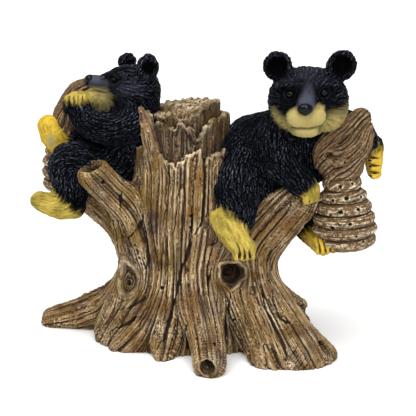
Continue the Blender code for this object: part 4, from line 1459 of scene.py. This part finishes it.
def group_of(name, inputs, outputs, fill):
    """A node group, made the first time that it is asked for.

    Sockets are given as names and kinds. The last argument wires what comes into the group and
    gives what goes out of it.
    """
    if name in bpy.data.node_groups:
        return bpy.data.node_groups[name]
    tree = bpy.data.node_groups.new(name, "ShaderNodeTree")
    for side, sockets in (("INPUT", inputs), ("OUTPUT", outputs)):
        for socket, kind in sockets.items():
            tree.interface.new_socket(socket, in_out=side, socket_type="NodeSocket" + kind)
    given = node(tree, "NodeGroupInput").outputs
    node(tree, "NodeGroupOutput", fill(tree, given))
    return tree


def fine_fibres(tree, given):
    """Fibres finer than the mesh, drawn along the grain."""
    return {"Fibres": noise(tree, given["Flow"], given["Scale"], 1.0)}


def fibres_of(tree, scale):
    """Place the fine fibres group, read along the piece's own grain."""
    group = group_of("Fine Fibres", {"Flow": "Vector", "Scale": "Float"}, {"Fibres": "Float"},
                     fine_fibres)
    return node(tree, "ShaderNodeGroup", {"Flow": attribute(tree, "flow", "Vector"), "Scale": scale},
                node_tree=group).outputs["Fibres"]


def painted_relief(tree, given):
    """A dark wash in the recesses and pale dry brushing on the ridges, each partly painted shade and
    painted highlight; on the fur the brushing is all painted highlight.
    """
    low = reckoned(tree, "SUBTRACT", 0.0, given["Wash Reach"])
    washed = mixed(tree, stretched(tree, given["Crest"], WASH_LEVEL, low), given["Coat"], given["Wash"])
    dust = stretched(tree, given["Crest"], 0.0, given["Brush Reach"])
    patchy_brush_and_highlight = reckoned(tree, "MULTIPLY", dust, given["Patches"], clamp=True)
    return {"Colour": mixed(tree, patchy_brush_and_highlight, washed, given["Brush"])}


def relief_paint(tree, coat_colour, wash, brush, reaches, patches):
    """Place the painted relief group with its own colours and reaches."""
    colours = {"Coat": opaque(coat_colour), "Wash": opaque(wash), "Brush": opaque(brush)}
    shares = {"Crest": attribute(tree, "crest"), "Wash Reach": reaches[0],
              "Brush Reach": reaches[1], "Patches": patches}
    kinds = dict.fromkeys(colours, "Color") | dict.fromkeys(shares, "Float")
    group = group_of("Painted Relief", kinds, {"Colour": "Color"}, painted_relief)
    return node(tree, "ShaderNodeGroup", colours | shares, node_tree=group).outputs["Colour"]


def new_paint(name, roughness, specular):
    """A material with its surface shader."""
    paint = bpy.data.materials.new(name)
    paint.use_nodes = True
    surface = paint.node_tree.nodes["Principled BSDF"].inputs
    surface["Roughness"].default_value = roughness
    surface["Specular IOR Level"].default_value = specular
    return paint, paint.node_tree, surface


def lay_paint(surface, tree, colour, height, distance):
    """Give a surface its colour, and roughen it by a height between 0 and 1."""
    bump = node(tree, "ShaderNodeBump", {"Height": height, "Distance": distance})
    tree.links.new(colour, surface["Base Color"])
    tree.links.new(bump.outputs[0], surface["Normal"])


def wood_paint(wood):
    """Tan wood with ochre and umber patches, a dark wash in the creases and cream dry brushing on the
    ridges, which also serve as painted shade and painted highlight.
    """
    paint, tree, surface = new_paint("painted_wood", roughness=0.6, specular=0.2)
    fibres = fibres_of(tree, 2.0)
    patches = stretched(tree, cloud(tree, 90, detail=2), 0.36, 0.66)
    base = mixed(tree, stretched(tree, cloud(tree, 38), 0.42, 0.62), wood.body, wood.ochre)
    base = mixed(tree, stretched(tree, cloud(tree, 55, detail=2), 0.5, 0.68), base, wood.umber)
    base = mixed(tree, stretched(tree, fibres, 0.47, 0.35), base, wood.wash)
    colour = relief_paint(tree, base, wood.wash, wood.brush, (0.22, 0.42), patches)
    thread = reckoned(tree, "MULTIPLY", stretched(tree, fibres, 0.56, 0.68), patches)
    colour = mixed(tree, thread, colour, wood.brush)
    # The crease layer adds the grooves, the cracks and the painted shade in the shell gaps, knots and
    # hollows
    colour = mixed(tree, attribute(tree, "crease"), colour, wood.wash)
    lay_paint(surface, tree, colour, fibres, 0.0009)
    return paint


def fur_paint(fur):
    """Blue-black fur with grey painted highlights on the tips, painted shade in the sockets and cuts,
    yellow paws, pale muzzle and grey bridge.
    """
    paint, tree, surface = new_paint("black_fur", roughness=0.45, specular=0.03)
    fibres = fibres_of(tree, 1.6)
    # Painted highlight: grey laid in patches on the raised tips of the locks, in place of light reflected
    # by the coat
    highlight_patches = stretched(tree, cloud(tree, 70), 0.3, 0.66)
    strokes = reckoned(tree, "MULTIPLY", stretched(tree, fibres, 0.48, 0.6), highlight_patches)
    colour = relief_paint(tree, fur.coat, (0, 0, 0), fur.tip_highlight, (0.25, 0.3), strokes)
    paw = mixed(tree, stretched(tree, cloud(tree, 110, detail=2), 0.42, 0.74), fur.paw, fur.olive)
    paw = mixed(tree, attribute(tree, "warm"), paw, fur.warm)
    # Paws and muzzle: pale paint on their ridges and ochre in their recesses, partly painted highlight and
    # painted shade
    paw = relief_paint(tree, paw, fur.paw_wash, fur.muzzle, (0.3, 0.6), 0.6)
    muzzle = relief_paint(tree, fur.muzzle, fur.paw_wash, (1, 1, 0.9), (0.7, 0.9), 0.3)
    # The deep layer is painted near black: painted shade in the eye sockets and the cuts, and the ear
    # hollows
    for name, paint_over in (("yellow", paw), ("pale", muzzle), ("grey", fur.grey),
                             ("deep", (0.001, 0.001, 0.001))):
        colour = mixed(tree, attribute(tree, name), colour, paint_over)
    smooth = reckoned(tree, "ADD", attribute(tree, "pale"), attribute(tree, "grey"), clamp=True)
    furry = reckoned(tree, "MULTIPLY_ADD", smooth, -0.85, 1.0)
    lay_paint(surface, tree, colour, reckoned(tree, "MULTIPLY", fibres, furry), 0.0007)
    return paint


def straw_paint(hive):
    """Tan straw with a brown wash between the coils that also stands in for their shade, whitish coils, and
    painted shade in the bees' holes.
    """
    paint, tree, surface = new_paint("hive_straw", roughness=0.6, specular=0.25)
    fibres = fibres_of(tree, 2.0)
    coil = attribute(tree, "coil")
    patches = reckoned(tree, "MULTIPLY", stretched(tree, cloud(tree, 480), 0.42, 0.56),
                       stretched(tree, coil, -0.3, 1))
    stipple = reckoned(tree, "MULTIPLY", stretched(tree, cloud(tree, 900, detail=1), 0.36, 0.30), coil)
    colour = relief_paint(tree, hive.straw, hive.wash, hive.brush, (0.2, 0.13), patches)
    colour = mixed(tree, stretched(tree, fibres, 0.48, 0.34), colour, hive.wash)
    colour = mixed(tree, stipple, colour, hive.wash)
    # Painted shade: near black in the bees' holes
    colour = mixed(tree, attribute(tree, "deep"), colour, (0.004, 0.003, 0.002))
    lay_paint(surface, tree, colour, fibres, 0.0005)
    return paint


def gloss_paint():
    """Black enamel."""
    paint, tree, surface = new_paint("eye_gloss", roughness=0.08, specular=0.15)
    speck = stretched(tree, cloud(tree, 400, detail=2), 0.3, 0.7)
    colour = mixed(tree, speck, (0.0015, 0.0015, 0.002), (0.004, 0.004, 0.005))
    tree.links.new(colour, surface["Base Color"])
    return paint


# Stage

CAMERA_EYE = (0, -590, 230.4)   # in the grid
CAMERA_PITCH = 15               # degrees below the horizon
CAMERA_LENS = 100.8             # millimetres, as is the next
CAMERA_SENSOR = 36
CAMERA_NEAR, CAMERA_FAR = 0.01, 100
FLOOR_SIZE = 12                 # metres, as are the lights' places and the fill's size
KEY_PLACE = (-0.1, -0.32, 0.9)
KEY_SPREAD = 60                 # degrees
FILL_PLACE = (0.3, -0.9, 0.5)
FILL_AIM = (0, 0, 0.06)
FILL_SIZE = 0.25


def lamp(kind, name, size, power, place, aim):
    """A soft light at a place, turned to another."""
    bpy.ops.object.light_add(type=kind, location=place)
    light = bpy.context.object
    light.name = name
    setattr(light.data, "angle" if kind == "SUN" else "size", size)
    light.data.energy = power
    light.rotation_euler = (Vector(aim) - Vector(place)).to_track_quat("-Z", "Y").to_euler()


class FIGURINE_OT_stage(bpy.types.Operator):
    """Set the floor, the lights and the camera"""
    bl_idname = "figurine.stage"
    bl_label = "Stage"

    def execute(self, context):
        stage = context.scene.figurine_stage
        bpy.ops.object.select_all(action="DESELECT")
        bpy.ops.mesh.primitive_plane_add(size=FLOOR_SIZE)
        floor = context.object
        floor.name = "floor"
        paint, _, surface = new_paint("floor", roughness=0.7, specular=0.1)
        surface["Base Color"].default_value = opaque(stage.floor)
        floor.data.materials.append(paint)
        world = bpy.data.worlds.new("studio")
        world.use_nodes = True
        air = world.node_tree.nodes["Background"].inputs
        air[0].default_value = (1, 1, 1, 1)
        air[1].default_value = stage.air
        context.scene.world = world
        lamp("SUN", "key", math.radians(KEY_SPREAD), stage.key, KEY_PLACE, (0, 0, 0))
        lamp("AREA", "fill", FILL_SIZE, stage.fill, FILL_PLACE, FILL_AIM)
        bpy.ops.object.camera_add()
        camera = context.object
        camera.location = (np.array(CAMERA_EYE) - MIDDLE) * STEP
        camera.rotation_euler = (math.radians(90 - CAMERA_PITCH), 0, 0)
        camera.data.lens = CAMERA_LENS
        camera.data.sensor_width = CAMERA_SENSOR
        camera.data.clip_start, camera.data.clip_end = CAMERA_NEAR, CAMERA_FAR
        context.scene.camera = camera
        context.scene.view_settings.view_transform = "Standard"
        return {"FINISHED"}


class FIGURINE_PT_sidebar(bpy.types.Panel):
    """Lists the figurine's pieces and settings"""
    bl_label = "Figurine"
    bl_idname = "FIGURINE_PT_sidebar"
    bl_space_type = "VIEW_3D"
    bl_region_type = "UI"
    bl_category = "Figurine"

    def draw(self, context):
        for operator in OPERATORS:
            self.layout.operator(operator.bl_idname)
        for name, group in SETTINGS.items():
            box = self.layout.box()
            for field in group.__annotations__:
                box.prop(getattr(context.scene, name), field)


SETTINGS = {"figurine_wood": FigurineWood, "figurine_fur": FigurineFur,
            "figurine_hive": FigurineHive, "figurine_stage": FigurineStage}
OPERATORS = (FIGURINE_OT_stump, FIGURINE_OT_right_cub, FIGURINE_OT_left_cub, FIGURINE_OT_hives,
             FIGURINE_OT_beads, FIGURINE_OT_stage)


def register():
    for group in (*SETTINGS.values(), *OPERATORS, FIGURINE_PT_sidebar):
        bpy.utils.register_class(group)
    for name, group in SETTINGS.items():
        setattr(bpy.types.Scene, name, PointerProperty(type=group))


def unregister():
    for name in SETTINGS:
        delattr(bpy.types.Scene, name)
    for group in (FIGURINE_PT_sidebar, *reversed(OPERATORS), *SETTINGS.values()):
        bpy.utils.unregister_class(group)


def main():
    register()
    bpy.ops.figurine.stump()
    bpy.ops.figurine.right_cub()
    bpy.ops.figurine.left_cub()
    bpy.ops.figurine.hives()
    bpy.ops.figurine.beads()
    bpy.ops.figurine.stage()


if __name__ == "__main__":
    main()
